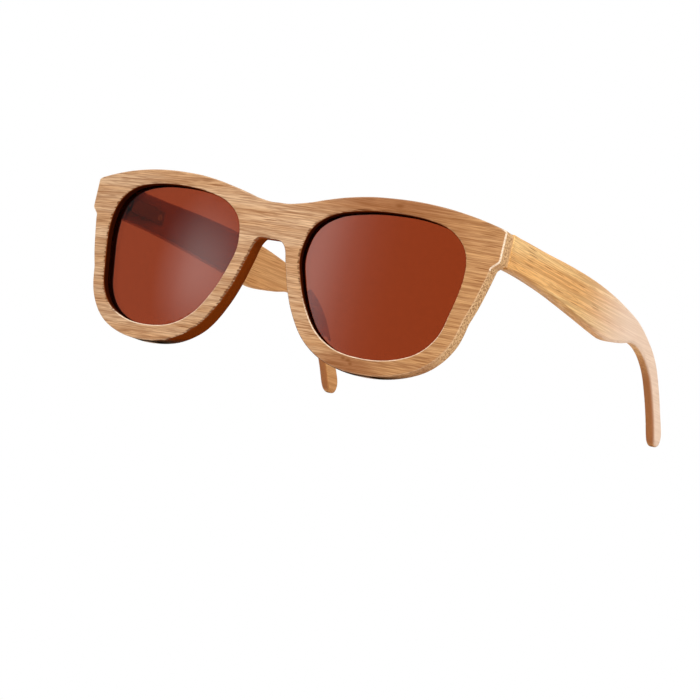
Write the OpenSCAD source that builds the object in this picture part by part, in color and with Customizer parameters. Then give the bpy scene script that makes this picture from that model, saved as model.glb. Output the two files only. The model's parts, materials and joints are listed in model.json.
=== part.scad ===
// Wooden sunglasses with two tinted lenses and a sprung hinge on each side.
// The front faces -Y, the temples run back along +Y, and right is +X, as seen from the front.

/* [Lenses] */
// Width of a lens opening
lens_w = 52; // [48:0.5:56]
// Height of a lens opening
lens_h = 43; // [38:0.5:46]
// Thickness of a lens
lens_t = 1.9; // [1.4:0.1:2.2]
// Depth of a lens behind the front face
lens_recess = 2; // [1.4:0.1:2.4]
// Depth of the groove that holds the edge of a lens
groove_d = 1; // [0.6:0.1:1.4]
// Clearance round the edge of a lens
lens_clear = 0.1; // [0.05:0.01:0.2]

/* [Front] */
// Gap between the two lens openings
bridge_w = 22.4; // [18:0.2:26]
// Height of the bridge at its middle
bridge_h = 11.2; // [8:0.2:14]
// Drop of the bridge below the top of the lens openings
bridge_drop = 1.7; // [0.5:0.1:3]
// Thickness of the front
front_t = 5.5; // [5:0.1:7]
// Radius of the face curve, seen from above
face_r = 310; // [240:5:420]
// Turn of each lens towards the temples, in degrees
eye_turn = 8; // [6:0.5:10]
// Width of the rim round a lens
rim_w = 4.7; // [4:0.1:5.6]
// Height of the brow above a lens opening
brow_h = 4.4; // [3.4:0.1:6]
// Reach of the wing past the lens opening
wing_reach = 9.8; // [9.2:0.1:12]
// Height of the wing at its end
wing_h = 9.3; // [8.8:0.1:12]
// Flare of the nose cut from its middle to the back
nose_flare = 1.6; // [0.4:0.1:2.4]

/* [Temples] */
// Length of a temple from its front end to the furthest point of the ear hook
temple_l = 137; // [125:1:150]
// Thickness of a temple at the hinge
temple_t = 3.9; // [3.6:0.1:4.6]
// Thickness of a temple at the tip of the ear hook
tip_t = 3.2; // [2.6:0.1:3.6]
// Height of a temple at the hinge
temple_h = 10.1; // [9.4:0.1:12]
// Height of a temple at its widest, ahead of the ear bend
paddle_h = 14.5; // [13:0.1:16]
// Width of the ear hook
hook_w = 5.8; // [5:0.1:6.4]
// Drop of the ear hook below the hinge
hook_drop = 33; // [29:0.2:37]
// Rounding of the long edges on the outside
edge_r = 1.2; // [0.6:0.1:1.5]
// Turn of an open temple towards the other one, in degrees
temple_turn = 3.5; // [1:0.5:6]
// Gap between the front end of a temple and the wing
butt_gap = 0.4; // [0.3:0.05:0.8]

/* [Hinges] */
// Diameter of the hinge screw
screw_d = 1.4; // [1.2:0.1:1.6]
// Radius of the knuckles
knuckle_r = 1.35; // [1.2:0.05:1.45]
// Height of one of the three knuckles
knuckle_h = 1.9; // [1.5:0.1:2.1]
// Gap between two knuckles
knuckle_gap = 0.1; // [0.06:0.02:0.2]
// Thickness of the leaf on the front
leaf_t = 1; // [0.8:0.1:1.4]
// Clearance of a part in its pocket or of a screw in its hole
fit_clear = 0.05; // [0.03:0.01:0.08]
// Diameter of the slider rod
rod_d = 1.1; // [1:0.05:1.2]
// Length of the spring case
case_l = 12; // [11:0.5:15]
// Thickness of the spring case
case_t = 3.8; // [3.6:0.1:4.4]
// Height of the spring case
case_h = 4.2; // [3.8:0.1:5]
// Length of the foot behind the spring case
foot_l = 7; // [6.4:0.1:9]
// Thickness of the foot behind the spring case
foot_t = 1.4; // [1:0.1:1.8]
// Diameter of the spring wire
wire_d = 0.36; // [0.3:0.02:0.4]
// Number of curls in a spring
spring_curls = 6; // [4:1:7]
// Travel of a temple against its spring
spring_travel = 1.5; // [1:0.1:1.8]

/* [Fixing screws] */
// Diameter of a fixing screw
fixing_d = 1.1; // [0.9:0.1:1.3]
// Diameter of a fixing screw's head
fixing_head_d = 2; // [1.8:0.1:2.2]
// Depth of a fixing screw in the wood
fixing_depth = 1.7; // [1.2:0.1:1.9]

/* [Hidden] */
$fn = 48;
// Facets of the face curve and of the lens curve
curve_fn = 720;
// Steps of an outline between two of its points
outline_steps = 3;
// Sides and rings per curl of the spring
wire_sides = 6;
curl_rings = 8;
// Steps of the wing's top edge
wing_steps = 8;
// Length by which a cut runs past what it cuts
past = 1;
// Length that spans more than the whole part
span = 200;

wood = [0.80, 0.60, 0.38];
golden_wood = [0.84, 0.62, 0.36];
tint = [0.45, 0.20, 0.12, 0.75];
steel = [0.72, 0.70, 0.66];
spring_steel = [0.60, 0.60, 0.62];

// Heights are counted from the middle of the lens openings
eye_x = bridge_w / 2 + lens_w / 2;
lens_top = lens_h / 2;
bridge_top = lens_top - bridge_drop;
bridge_low = bridge_top - bridge_h;
brow_top = lens_top + brow_h;
wing_x = eye_x + lens_w / 2 + wing_reach;
// Rise of the wing's top over the lens openings, and lean of the wing's end
wing_rise = 0.2;
wing_lean = 0.1;
wing_top = lens_top + wing_rise;
wing_low = wing_top - wing_h;
// Half width of the arch under the bridge
arch_w = bridge_w / 2 - rim_w;
// Reach of each half of the front past the middle, where the two halves are cut and joined
past_middle = 4;

// Outline of a lens opening, in hundredths of its half width and half height
lens_form = [
    [100, 28], [95, 64], [75, 88], [44, 98], [6, 100], [-34, 96], [-70, 85], [-93, 62], [-100, 26],
    [-93, -8], [-80, -43], [-60, -75], [-32, -95], [2, -101], [36, -97], [66, -82], [85, -56], [93, -23]
];
// Top edge over a lens opening, in hundredths of its width and of the rise from the bridge to the brow
brow_form = [[-1.2, 22], [7.7, 43], [21.2, 70], [36.5, 90], [51.9, 98.4], [61.5, 100]];
// Arch under the bridge, in hundredths of its half width and, downwards, of the bridge's height
arch_form = [[100, 50], [87.7, 25], [70.8, 8.9], [46.2, 0.9], [0, 0]];
// Side of the rim under the wing, in hundredths of the wing's reach and of the drop to the rim
side_form = [[23.5, 10.9], [35.7, 38.2], [53.1, 72.1]];

// Point at share s of the stretch from b to c on a smooth curve through a, b, c and d
function between(a, b, c, d, s) =
    0.5 * (2 * b + (c - a) * s + (2 * a - 5 * b + 4 * c - d) * s * s + (3 * b - a - 3 * c + d) * s * s * s);
// Smooth closed curve through a loop of points
function closed_curve(p) =
    let (n = len(p))
        [
            for (i = [0 : n - 1])
                for (k = [0 : outline_steps - 1])
                    between(p[(i + n - 1) % n], p[i], p[(i + 1) % n], p[(i + 2) % n], k / outline_steps)
        ];
// Smooth open curve through a row of points
function open_curve(p) =
    let (n = len(p))
        [
            for (i = [0 : n - 2])
                for (k = [0 : outline_steps - 1])
                    between(p[max(i - 1, 0)], p[i], p[i + 1], p[min(i + 2, n - 1)], k / outline_steps),
            p[n - 1]
        ];
// Closed outline moved outwards by d, or inwards where d is negative
function grown(loop, d) =
    let (n = len(loop))
        [
            for (i = [0 : n - 1])
                let (along = loop[(i + 1) % n] - loop[(i + n - 1) % n])
                    loop[i] + d * [along[1], -along[0]] / norm(along)
        ];
// Open row of points moved to its left by d
function moved_left(row, d) =
    let (n = len(row))
        [
            for (i = [0 : n - 1])
                let (along = row[min(i + 1, n - 1)] - row[max(i - 1, 0)])
                    row[i] + d * [-along[1], along[0]] / norm(along)
        ];
// Distance of the face curve behind the middle of the front, at depth d into the front
function face_y(x, d = 0) = face_r - sqrt(pow(face_r - d, 2) - x * x);
// Plan point turned by an angle
function turned(p, angle) = [p[0] * cos(angle) - p[1] * sin(angle), p[0] * sin(angle) + p[1] * cos(angle)];

lens_loop = closed_curve([
    for (p = lens_form) [eye_x + p[0] / 100 * lens_w / 2, p[1] / 100 * lens_h / 2]
]);
rim_loop = grown(lens_loop, rim_w);
// Stretch of the rim outline that shows: from the temple side round the bottom to the nose side
rim_outer = 17 * outline_steps;
rim_nose = 9 * outline_steps;
rim_bottom = 13 * outline_steps;
rim_low = min([for (p = rim_loop) p[1]]);

// Top edge of the front, from past its middle to the end of the wing
function brow_at(p) = [bridge_w / 2 + p[0] / 100 * lens_w, bridge_top + p[1] / 100 * (brow_top - bridge_top)];
brow_curve = open_curve(concat(
    [[-past_middle, bridge_top], [0, bridge_top], [past_middle, bridge_top + (brow_top - bridge_top) / 60]],
    [for (p = brow_form) brow_at(p)]
));
brow_end = brow_curve[len(brow_curve) - 1][0];
wing_curve = [
    for (k = [1 : wing_steps])
        [
            brow_end + (wing_x - brow_end) * k / wing_steps,
            brow_top - (brow_top - wing_top) * pow(k / wing_steps, 2)
        ]
];
// Underside of the bridge, from the rim to past the middle of the front
arch_curve = open_curve(concat(
    [for (p = arch_form) [p[0] / 100 * arch_w, bridge_low - p[1] / 100 * bridge_h]],
    [[-past_middle, bridge_low]]
));
// Outer side of the rim, from the step under the wing down to the rim
side_drop = wing_low - rim_loop[rim_outer][1];
side_curve = open_curve(concat(
    [for (p = side_form) [wing_x - p[0] / 100 * wing_reach, wing_low - p[1] / 100 * side_drop]],
    [rim_loop[rim_outer]]
));
half_loop = concat(
    brow_curve,
    wing_curve,
    [[wing_x - wing_lean, wing_low]],
    [for (i = [0 : len(side_curve) - 2]) side_curve[i]],
    [for (i = [rim_outer : -1 : rim_nose]) rim_loop[i]],
    arch_curve
);

// Nose side of the front: from past the middle of the bridge down round the rim, with the flare dying out
nose_row = concat(
    [for (i = [len(arch_curve) - 1 : -1 : 0]) arch_curve[i]],
    [for (i = [rim_nose : rim_bottom]) rim_loop[i]]
);
nose_n = len(nose_row);
function nose_fade(i) = i < nose_n / 2 ? 1 : cos(90 * (i - nose_n / 2) / (nose_n / 2 - 1));
// Distance of the flared cut into the wood, at a share of the full flare, and its clearances outside the wood
nose_clear = 0.1;
rim_clear = 0.8;
function nose_into(i, share) =
    nose_flare * share * nose_fade(i) - nose_clear - rim_clear * (1 - nose_fade(i));
// Point across the gap from point i of the nose side: down the middle of the front, then along below the rim
function nose_across(i) =
    let (t = 2 * i / (nose_n - 1), low = rim_low - past_middle, top = bridge_low - past)
        t < 1
            ? [nose_row[0][0], top + (low - top) * t]
            : [nose_row[0][0] + (nose_row[nose_n - 1][0] - nose_row[0][0]) * (t - 1), low];

// The hinge pin stands behind the wing, and each leaf has a frame turned about it
leaf_turn = 12;
// Place of the pin: in from the end of the wing, up from its lower edge and behind the front
pin_in = 6.8;
pin_up = 4.2;
pin_back = 3.8;
pin_x = wing_x - pin_in;
pin_z = wing_low + pin_up;
pin_y = face_y(pin_x, front_t) + pin_back;
// Distance from the pin to the floor of the leaf's pocket
pin_to_seat = 4.75;
// Reach of the leaf, and of the fins on it, to each side of the pin
leaf_in = 2;
leaf_out = 3.6;
fin_out = 0.8;
leaf_h = 3 * knuckle_h + 2 * knuckle_gap;
// Place of the leaf's fixing screws, as a share of its height
leaf_screw_at = 0.3;
// Head of the hinge screw and its slot
screw_head_d = 2.2;
screw_head_h = 0.5;
slot_w = 0.3;

// The slider rod and the case lie beside the pin, in the frame of the open temple
temple_out = 5.65;
rod_x = 0.9;
// Offset of the rod from the middle of the case
rod_off = 0.1;
case_x = rod_x - case_t / 2 + rod_off;
case_y = 3;
case_wall = 1.4;
case_end = case_y + case_l;
// Shank between the slider's knuckle and its rod
shank_in = 1.5;
shank_l = case_y - fit_clear;
stop_d = 2.06;
stop_l = 1.2;
// Length of the spring at rest, and room behind the stop when the spring is pressed
coil_l = 6.6;
stop_room = 0.3;
stop_y = case_y + case_wall + coil_l;
coil_d = stop_d - wire_d;
chamber_d = stop_d + 4 * fit_clear;
chamber_end = stop_y + stop_l + spring_travel + stop_room;
foot_x = case_x + case_t - foot_t;
// Places of the case's fixing screws, as shares of the foot's length
foot_screws_at = [0.27, 0.73];

// Front end of a temple, in the frame of the pin
butt_tilt = leaf_turn - temple_turn;
butt_x = wing_x - past;
wing_back = turned([butt_x - pin_x, face_y(butt_x, front_t) - pin_y], -temple_turn);
butt_y = wing_back[1] + butt_gap;

// Outline of a temple ahead of the ear hook: hundredths of its length, and height above the hinge
temple_top = [
    [0, 0.53 * temple_h], [7.3, 0.56 * temple_h], [18.25, 0.57 * temple_h], [29.2, 0.42 * paddle_h],
    [40.9, 0.42 * paddle_h], [49.65, 0.39 * paddle_h], [58.4, 0.32 * paddle_h]
];
temple_low = [
    [57.65, -0.64 * paddle_h], [51.8, -0.62 * paddle_h], [42.35, -0.54 * paddle_h], [31.4, -0.45 * paddle_h],
    [21.9, -0.55 * temple_h], [10.95, -0.49 * temple_h], [0, -0.48 * temple_h]
];
function temple_at(p) = [p[0] / 100 * temple_l, p[1]];
// Middle line of the ear hook, counted back from its furthest point, in hundredths of its drop
hook_form = [
    [-142.4, -6.7], [-118.2, -6.4], [-100, -9.7], [-83.3, -15.5], [-68.2, -23], [-53, -34.2], [-36.4, -52.4],
    [-22.7, -70.6], [-8.5, -91.2]
];
hook_line = [for (p = hook_form) p / 100 * hook_drop];
// Half width of the ear hook along its middle line
hook_half = [0.95 * hook_w, 0.69 * hook_w, 0.56 * hook_w, hook_w / 2, hook_w / 2, hook_w / 2,
    hook_w / 2, hook_w / 2, hook_w / 2];
hook_n = len(hook_line);
function unit(v) = v / norm(v);
function hook_along(i) = unit(hook_line[min(i + 1, hook_n - 1)] - hook_line[max(i - 1, 0)]);
function hook_mid(i) = [temple_l, 0] + hook_line[i];
function hook_side(i, side) = hook_mid(i) + side * hook_half[i] * [-hook_along(i)[1], hook_along(i)[0]];
// Edge of a temple, from the bottom of its front end round the ear hook to the top of its front end
temple_row = open_curve(concat(
    [for (i = [len(temple_low) - 1 : -1 : 0]) temple_at(temple_low[i])],
    [for (i = [0 : hook_n - 1]) hook_side(i, -1)],
    [hook_mid(hook_n - 1) + hook_w / 2 * hook_along(hook_n - 1)],
    [for (i = [hook_n - 1 : -1 : 0]) hook_side(i, 1)],
    [for (i = [len(temple_top) - 1 : -1 : 0]) temple_at(temple_top[i])]
));
function temple_thick(a) = temple_t + (tip_t - temple_t) * a / temple_l;

// The part stands centred on the origin, on its lowest point
depth = max([
    for (p = temple_row)
        for (w = [temple_out, temple_out - temple_thick(p[0])])
            pin_y + turned([w, butt_y + p[0]], temple_turn)[1]
]);
base = [0, -depth / 2, -rim_low];

// Height of the pin axis and its place in plan, and the least gap between the curls of a spring
spring_path = [
    for (i = [0 : spring_curls * curl_rings])
        [
            coil_d / 2 * cos(360 * i / curl_rings),
            case_y + case_wall + wire_d + (coil_l - 2 * wire_d) * i / spring_curls / curl_rings,
            coil_d / 2 * sin(360 * i / curl_rings)
        ]
];
spring_gap = min([
    for (i = [0 : len(spring_path) - 1])
        for (j = [i + curl_rings - 2 : 1 : len(spring_path) - 1])
            norm(spring_path[i] - spring_path[j])
]) - wire_d;
echo(pin = base + [pin_x, pin_y, pin_z], spring_gap = spring_gap, depth = depth, height = brow_top - rim_low);

// Puts what is drawn for the right side on side 1, or its mirror image on side -1
module on_side(side) {
    translate(base)
        mirror([side < 0 ? 1 : 0, 0, 0])
            children();
}

// Frame of the hinge pin, turned in plan
module at_pin(angle) {
    translate([pin_x, pin_y, pin_z])
        rotate([0, 0, angle])
            children();
}

// Upright outline, turned with its eye of the front and drawn through the whole part
module prism(loop) {
    rotate([90, 0, eye_turn])
        linear_extrude(height = span, center = true)
            polygon(loop);
}

// Part of the face curve between two depths
module face_shell(d0, d1) {
    translate([0, face_r, -span / 2])
        difference() {
            cylinder(r = face_r - d0, h = span, $fn = curve_fn);
            translate([0, 0, -past])
                cylinder(r = face_r - d1, h = span + 2 * past, $fn = curve_fn);
        }
}

// First end face of a lofted solid: one polygon, or a ribbon between the two halves of the ring
function end_faces(n, ribbon) = ribbon
    ? concat(
        [for (i = [0 : n - 1]) if (i + 1 < n - 1 - i) [i, i + 1, n - 1 - i]],
        [for (i = [0 : n - 1]) if (i + 1 < n - 2 - i) [i + 1, n - 2 - i, n - 1 - i]]
    )
    : [[for (i = [0 : n - 1]) i]];

// Solid through rings of points, each with the same count, that turn left when seen from the last ring
module loft(rings, ribbon = false) {
    n = len(rings[0]);
    last = len(rings) - 1;
    ends = end_faces(n, ribbon);
    polyhedron(
        points = [for (ring = rings) for (p = ring) p],
        faces = concat(
            ends,
            [for (f = ends) [for (i = [len(f) - 1 : -1 : 0]) f[i] + last * n]],
            [
                for (r = [0 : last - 1])
                    for (i = [0 : n - 1])
                        [r * n + i, (r + 1) * n + i, r * n + (i + 1) % n]
            ],
            [
                for (r = [0 : last - 1])
                    for (i = [0 : n - 1])
                        [r * n + (i + 1) % n, (r + 1) * n + i, (r + 1) * n + (i + 1) % n]
            ]
        )
    );
}

// Countersunk screw along -Z, with its head flush with z = 0
module fixing_screw(through, grow = 0) {
    cone_h = (fixing_head_d - fixing_d) / 2;
    rotate_extrude()
        polygon([
            [0, 0],
            [fixing_head_d / 2 + grow, 0],
            [fixing_d / 2 + grow, -cone_h - grow / 2],
            [fixing_d / 2 + grow, -through - fixing_depth + fixing_d / 2],
            [0, -through - fixing_depth - grow]
        ]);
}

// Places of the fixing screws of the front leaf, with -Z into the wood
module at_leaf_screws() {
    for (z = [-1, 1])
        at_pin(leaf_turn)
            translate([(fin_out + leaf_out) / 2, leaf_t - pin_to_seat, z * leaf_h * leaf_screw_at])
                rotate([-90, 0, 0])
                    children();
}

// Places of the fixing screws of the spring case, with -Z into the temple
module at_case_screws() {
    for (y = foot_screws_at)
        at_pin(temple_turn)
            translate([foot_x, case_end + y * foot_l, 0])
                rotate([0, -90, 0])
                    children();
}

// Space that a lens opening and its groove take out of the front
module eye_cut() {
    prism(lens_loop);
    intersection() {
        prism(grown(lens_loop, groove_d));
        face_shell(lens_recess, lens_recess + lens_t + 2 * fit_clear);
    }
}

// Flared cut that lets one eye of the front sit on a nose
module nose_cut() {
    start = front_t / 3;
    rotate([0, 0, eye_turn])
        loft([
            for (y = [start, front_t + 3 * past])
                let (share = (y - start) / (front_t - start))
                    concat(
                        [
                            for (i = [0 : nose_n - 1])
                                let (p = moved_left(nose_row, nose_into(i, share))[i])
                                    [p[0], y, p[1]]
                        ],
                        [for (i = [nose_n - 1 : -1 : 0]) [nose_across(i)[0], y, nose_across(i)[1]]]
                    )
        ], ribbon = true);
}

// Pocket for the front leaf in the back of the wing, with its screw holes
module leaf_pocket() {
    at_pin(leaf_turn)
        translate([-leaf_in - fit_clear, -pin_to_seat, -leaf_h / 2 - fit_clear])
            cube([leaf_in + leaf_out + 2 * fit_clear, 2 * pin_to_seat, leaf_h + 2 * fit_clear]);
    at_leaf_screws()
        fixing_screw(leaf_t, fit_clear / 2);
}

// Right half of the front, cut at the middle of the bridge, before its lens opening is made
module front_half() {
    difference() {
        intersection() {
            prism(half_loop);
            face_shell(0, front_t);
            translate([0, -span / 2, -span / 2])
                cube(span);
        }
        nose_cut();
    }
}

module front_frame() {
    color(wood)
        translate(base)
            difference() {
                union() {
                    front_half();
                    mirror([1, 0, 0])
                        front_half();
                }
                for (m = [0, 1])
                    mirror([m, 0, 0]) {
                        eye_cut();
                        leaf_pocket();
                    }
            }
}

module lens(side) {
    color(tint)
        on_side(side)
            intersection() {
                prism(grown(lens_loop, groove_d - lens_clear));
                face_shell(lens_recess + fit_clear, lens_recess + fit_clear + lens_t);
            }
}

// Ring of a temple's edge at height w over its inner face, or below its outer face, set in by some amount
function temple_ring(outer, w, inset) = [
    for (p = moved_left(temple_row, inset))
        let (x = outer ? temple_out - w : temple_out - temple_thick(p[0]) + w)
            [x, butt_y + (p[0] < past ? (x - temple_out) * tan(butt_tilt) : p[0]), p[1]]
];

// Temple with its long edges rounded, a little over its outer face
module temple_blank() {
    inner_r = edge_r * 0.7;
    over = 0.05;
    loft(concat(
        [for (a = [0, 45, 90]) temple_ring(false, inner_r * (1 - cos(a)), inner_r * (1 - sin(a)))],
        [for (a = [90, 45, 0]) temple_ring(true, edge_r * (1 - cos(a)), edge_r * (1 - sin(a)))],
        [temple_ring(true, -over, edge_r)]
    ), ribbon = true);
}

module temple(side) {
    color(golden_wood)
        on_side(side)
            difference() {
                at_pin(temple_turn)
                    temple_blank();
                at_pin(temple_turn)
                    translate([temple_out, butt_y - past, -span / 2])
                        cube([past, temple_l + 2 * past, span]);
                at_pin(temple_turn)
                    translate([case_x, case_y - fit_clear, -case_h / 2 - fit_clear])
                        cube([case_t + fit_clear, case_l + foot_l + 2 * fit_clear, case_h + 2 * fit_clear]);
                at_case_screws()
                    fixing_screw(foot_t, fit_clear / 2);
            }
}

module front_leaf(side) {
    color(steel)
        on_side(side)
            difference() {
                union() {
                    at_pin(leaf_turn) {
                        translate([-leaf_in, -pin_to_seat, -leaf_h / 2])
                            cube([leaf_in + leaf_out, leaf_t, leaf_h]);
                        for (z = [-leaf_h / 2, leaf_h / 2 - knuckle_h])
                            translate([-knuckle_r, leaf_t / 2 - pin_to_seat, z])
                                cube([knuckle_r + fin_out, pin_to_seat - leaf_t / 2, knuckle_h]);
                        for (z = [-leaf_h / 2, leaf_h / 2 - knuckle_h])
                            translate([0, 0, z])
                                cylinder(r = knuckle_r, h = knuckle_h);
                    }
                }
                at_pin(0)
                    translate([0, 0, -leaf_h / 2 - past])
                        cylinder(d = screw_d + 2 * fit_clear, h = leaf_h + 2 * past);
                at_leaf_screws()
                    fixing_screw(leaf_t, fit_clear / 2);
            }
}

module leaf_screws(side) {
    color(steel)
        on_side(side)
            at_leaf_screws()
                fixing_screw(leaf_t);
}

module case_screws(side) {
    color(steel)
        on_side(side)
            at_case_screws()
                fixing_screw(foot_t);
}

module hinge_screw(side) {
    color(steel)
        on_side(side)
            at_pin(0)
                difference() {
                    union() {
                        translate([0, 0, -leaf_h / 2])
                            cylinder(d = screw_d, h = leaf_h);
                        translate([0, 0, leaf_h / 2])
                            cylinder(d = screw_head_d, h = screw_head_h);
                    }
                    translate([-screw_head_d, -slot_w / 2, leaf_h / 2 + screw_head_h / 2])
                        cube([2 * screw_head_d, slot_w, screw_head_h]);
                }
}

module slider(side) {
    color(steel)
        on_side(side)
            at_pin(temple_turn)
                difference() {
                    union() {
                        translate([0, 0, -knuckle_h / 2])
                            cylinder(r = knuckle_r, h = knuckle_h);
                        translate([rod_x - shank_in, 0, -knuckle_h / 2])
                            cube([shank_in + knuckle_r - rod_x, shank_l, knuckle_h]);
                        translate([rod_x, 0, 0])
                            rotate([-90, 0, 0])
                                cylinder(d = rod_d, h = stop_y + stop_l);
                    }
                    translate([0, 0, -knuckle_h])
                        cylinder(d = screw_d + 2 * fit_clear, h = 2 * knuckle_h);
                }
}

module slider_stop(side) {
    color(steel)
        on_side(side)
            at_pin(temple_turn)
                translate([rod_x, stop_y, 0])
                    rotate([-90, 0, 0])
                        difference() {
                            cylinder(d = stop_d, h = stop_l);
                            translate([0, 0, -past])
                                cylinder(d = rod_d + fit_clear, h = stop_l + 2 * past);
                        }
}

// Spring wire wound round the slider rod, with a flat cap at each end
module spring(side) {
    rings = [
        for (i = [0 : len(spring_path) - 1])
            let (
                mid = spring_path[i],
                turn = 360 * i / curl_rings,
                out = [cos(turn), 0, sin(turn)]
            )
                [
                    for (k = [0 : wire_sides - 1])
                        let (a = 360 * k / wire_sides)
                            mid + wire_d / 2 * (cos(a) * out + sin(a) * [0, 1, 0])
                ]
    ];
    color(spring_steel)
        on_side(side)
            at_pin(temple_turn)
                translate([rod_x, 0, 0])
                    loft(rings);
}

module spring_case(side) {
    color(steel)
        on_side(side)
            difference() {
                at_pin(temple_turn)
                    difference() {
                        union() {
                            translate([case_x, case_y, -case_h / 2])
                                cube([case_t, case_l, case_h]);
                            translate([foot_x, case_y, -case_h / 2])
                                cube([foot_t, case_l + foot_l, case_h]);
                        }
                        translate([rod_x, case_y - past, 0])
                            rotate([-90, 0, 0])
                                cylinder(d = rod_d + 2 * fit_clear, h = case_l / 2);
                        translate([rod_x, case_y + case_wall, 0])
                            rotate([-90, 0, 0])
                                cylinder(d = chamber_d, h = chamber_end - case_y - case_wall);
                        translate([rod_x, case_y + case_wall, -chamber_d / 2])
                            cube([case_t, chamber_end - case_y - case_wall, chamber_d]);
                    }
                at_case_screws()
                    fixing_screw(foot_t, fit_clear / 2);
            }
}

front_frame();
lens(-1);  // left_lens
lens(1);  // right_lens
temple(-1);  // left_temple
temple(1);  // right_temple
front_leaf(-1);  // left_front_leaf
front_leaf(1);  // right_front_leaf
leaf_screws(-1);  // left_leaf_screws
leaf_screws(1);  // right_leaf_screws
hinge_screw(-1);  // left_hinge_screw
hinge_screw(1);  // right_hinge_screw
slider(-1);  // left_slider
slider(1);  // right_slider
slider_stop(-1);  // left_slider_stop
slider_stop(1);  // right_slider_stop
spring(-1);  // left_spring
spring(1);  // right_spring
spring_case(-1);  // left_spring_case
spring_case(1);  // right_spring_case
case_screws(-1);  // left_case_screws
case_screws(1);  // right_case_screws
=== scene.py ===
"""Wooden sunglasses: a bamboo front with two tinted lenses, and two temples on sprung hinges."""

import json
import math
from contextlib import contextmanager

import bmesh
import bpy
import numpy as np
from bpy.props import FloatProperty, FloatVectorProperty, IntProperty, PointerProperty
from mathutils import Matrix, Vector
from mathutils.geometry import delaunay_2d_cdt

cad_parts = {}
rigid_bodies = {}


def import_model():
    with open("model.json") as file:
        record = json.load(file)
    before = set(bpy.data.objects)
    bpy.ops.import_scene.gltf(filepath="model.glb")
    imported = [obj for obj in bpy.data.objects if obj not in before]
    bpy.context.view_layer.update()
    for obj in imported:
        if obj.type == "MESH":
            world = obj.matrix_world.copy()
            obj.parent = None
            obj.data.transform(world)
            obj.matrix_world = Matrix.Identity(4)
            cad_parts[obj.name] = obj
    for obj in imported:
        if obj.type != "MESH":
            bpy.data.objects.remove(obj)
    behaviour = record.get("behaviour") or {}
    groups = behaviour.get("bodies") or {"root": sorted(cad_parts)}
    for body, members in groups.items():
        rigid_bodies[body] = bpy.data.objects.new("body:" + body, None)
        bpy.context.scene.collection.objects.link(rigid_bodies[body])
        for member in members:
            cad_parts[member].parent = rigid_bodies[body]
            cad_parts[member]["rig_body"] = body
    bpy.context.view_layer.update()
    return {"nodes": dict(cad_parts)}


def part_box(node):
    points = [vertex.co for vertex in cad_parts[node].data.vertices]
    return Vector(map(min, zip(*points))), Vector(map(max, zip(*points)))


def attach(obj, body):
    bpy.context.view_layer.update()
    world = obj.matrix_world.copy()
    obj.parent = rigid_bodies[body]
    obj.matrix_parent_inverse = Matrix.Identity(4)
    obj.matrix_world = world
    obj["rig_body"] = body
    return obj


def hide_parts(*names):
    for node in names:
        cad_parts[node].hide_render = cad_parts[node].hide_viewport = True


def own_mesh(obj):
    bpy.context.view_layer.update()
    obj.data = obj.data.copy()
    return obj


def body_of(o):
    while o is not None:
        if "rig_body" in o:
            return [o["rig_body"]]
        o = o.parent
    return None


bl_info = {
    "name": "Wooden Sunglasses",
    "version": (1, 0, 0),
    "blender": (4, 5, 0),
    "location": "View3D > Sidebar > Sunglasses",
    "description": "Builds wooden sunglasses with tinted lenses and sprung hinges",
    "category": "Object",
}

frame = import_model()
MM = 0.001
SIDES = {"right": 1, "left": -1}
WELD = 1e-7


def length(label, description, millimetres):
    """Property for a length, with its default given in millimetres."""
    return FloatProperty(
        name=label,
        description=description,
        default=millimetres * MM,
        min=0.0,
        precision=5,
        unit="LENGTH",
    )


def angle(label, description, degrees):
    """Property for an angle, with its default given in degrees."""
    return FloatProperty(name=label, description=description, default=math.radians(degrees), subtype="ANGLE")


def linear(value):
    """Light value of one display value from 0 to 255."""
    share = value / 255
    return share / 12.92 if share <= 0.04045 else ((share + 0.055) / 1.055) ** 2.4


def colour(label, description, red, green, blue):
    """Property for a colour, with its default given as display values from 0 to 255."""
    return FloatVectorProperty(
        name=label,
        description=description,
        default=(linear(red), linear(green), linear(blue), 1.0),
        size=4,
        min=0.0,
        max=1.0,
        subtype="COLOR",
    )


class FrontSizes(bpy.types.PropertyGroup):
    """Sizes of the wooden front and of the lenses in it."""

    lens_w: length("Lens width", "Width of a lens opening", 52)
    lens_h: length("Lens height", "Height of a lens opening", 43)
    lens_t: length("Lens thickness", "Thickness of a lens", 1.9)
    lens_recess: length("Lens recess", "Depth of a lens behind the front face", 2)
    groove_d: length("Groove depth", "Depth of the groove that holds a lens", 1)
    lens_clear: length("Lens clearance", "Clearance round the edge of a lens", 0.1)
    bridge_w: length("Bridge width", "Gap between the two lens openings", 22.4)
    bridge_h: length("Bridge height", "Height of the bridge at its middle", 11.2)
    bridge_drop: length("Bridge drop", "Drop of the bridge below the lens openings' top", 1.7)
    front_t: length("Front thickness", "Thickness of the front", 5.5)
    face_r: length("Face radius", "Radius of the face curve, seen from above", 310)
    eye_turn: angle("Lens turn", "Turn of each lens towards the temples", 8)
    rim_w: length("Rim width", "Width of the rim round a lens", 4.7)
    brow_h: length("Brow height", "Height of the brow above a lens opening", 4.4)
    wing_reach: length("Wing reach", "Reach of the wing past the lens opening", 9.8)
    wing_h: length("Wing height", "Height of the wing at its end", 9.3)
    nose_flare: length("Nose flare", "Flare of the nose cut towards the back", 1.6)
    face_edge: length("Face edge", "Rounding of the edges of the front face", 0.38)
    wing_edge: length("Wing edge", "Rounding of the edge at the end of a wing", 0.5)
    eye_edge: length("Opening edge", "Rounding of the edge of a lens opening", 0.34)
    back_edge: length("Back edge", "Rounding of the edges at the back", 0.5)


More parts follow.
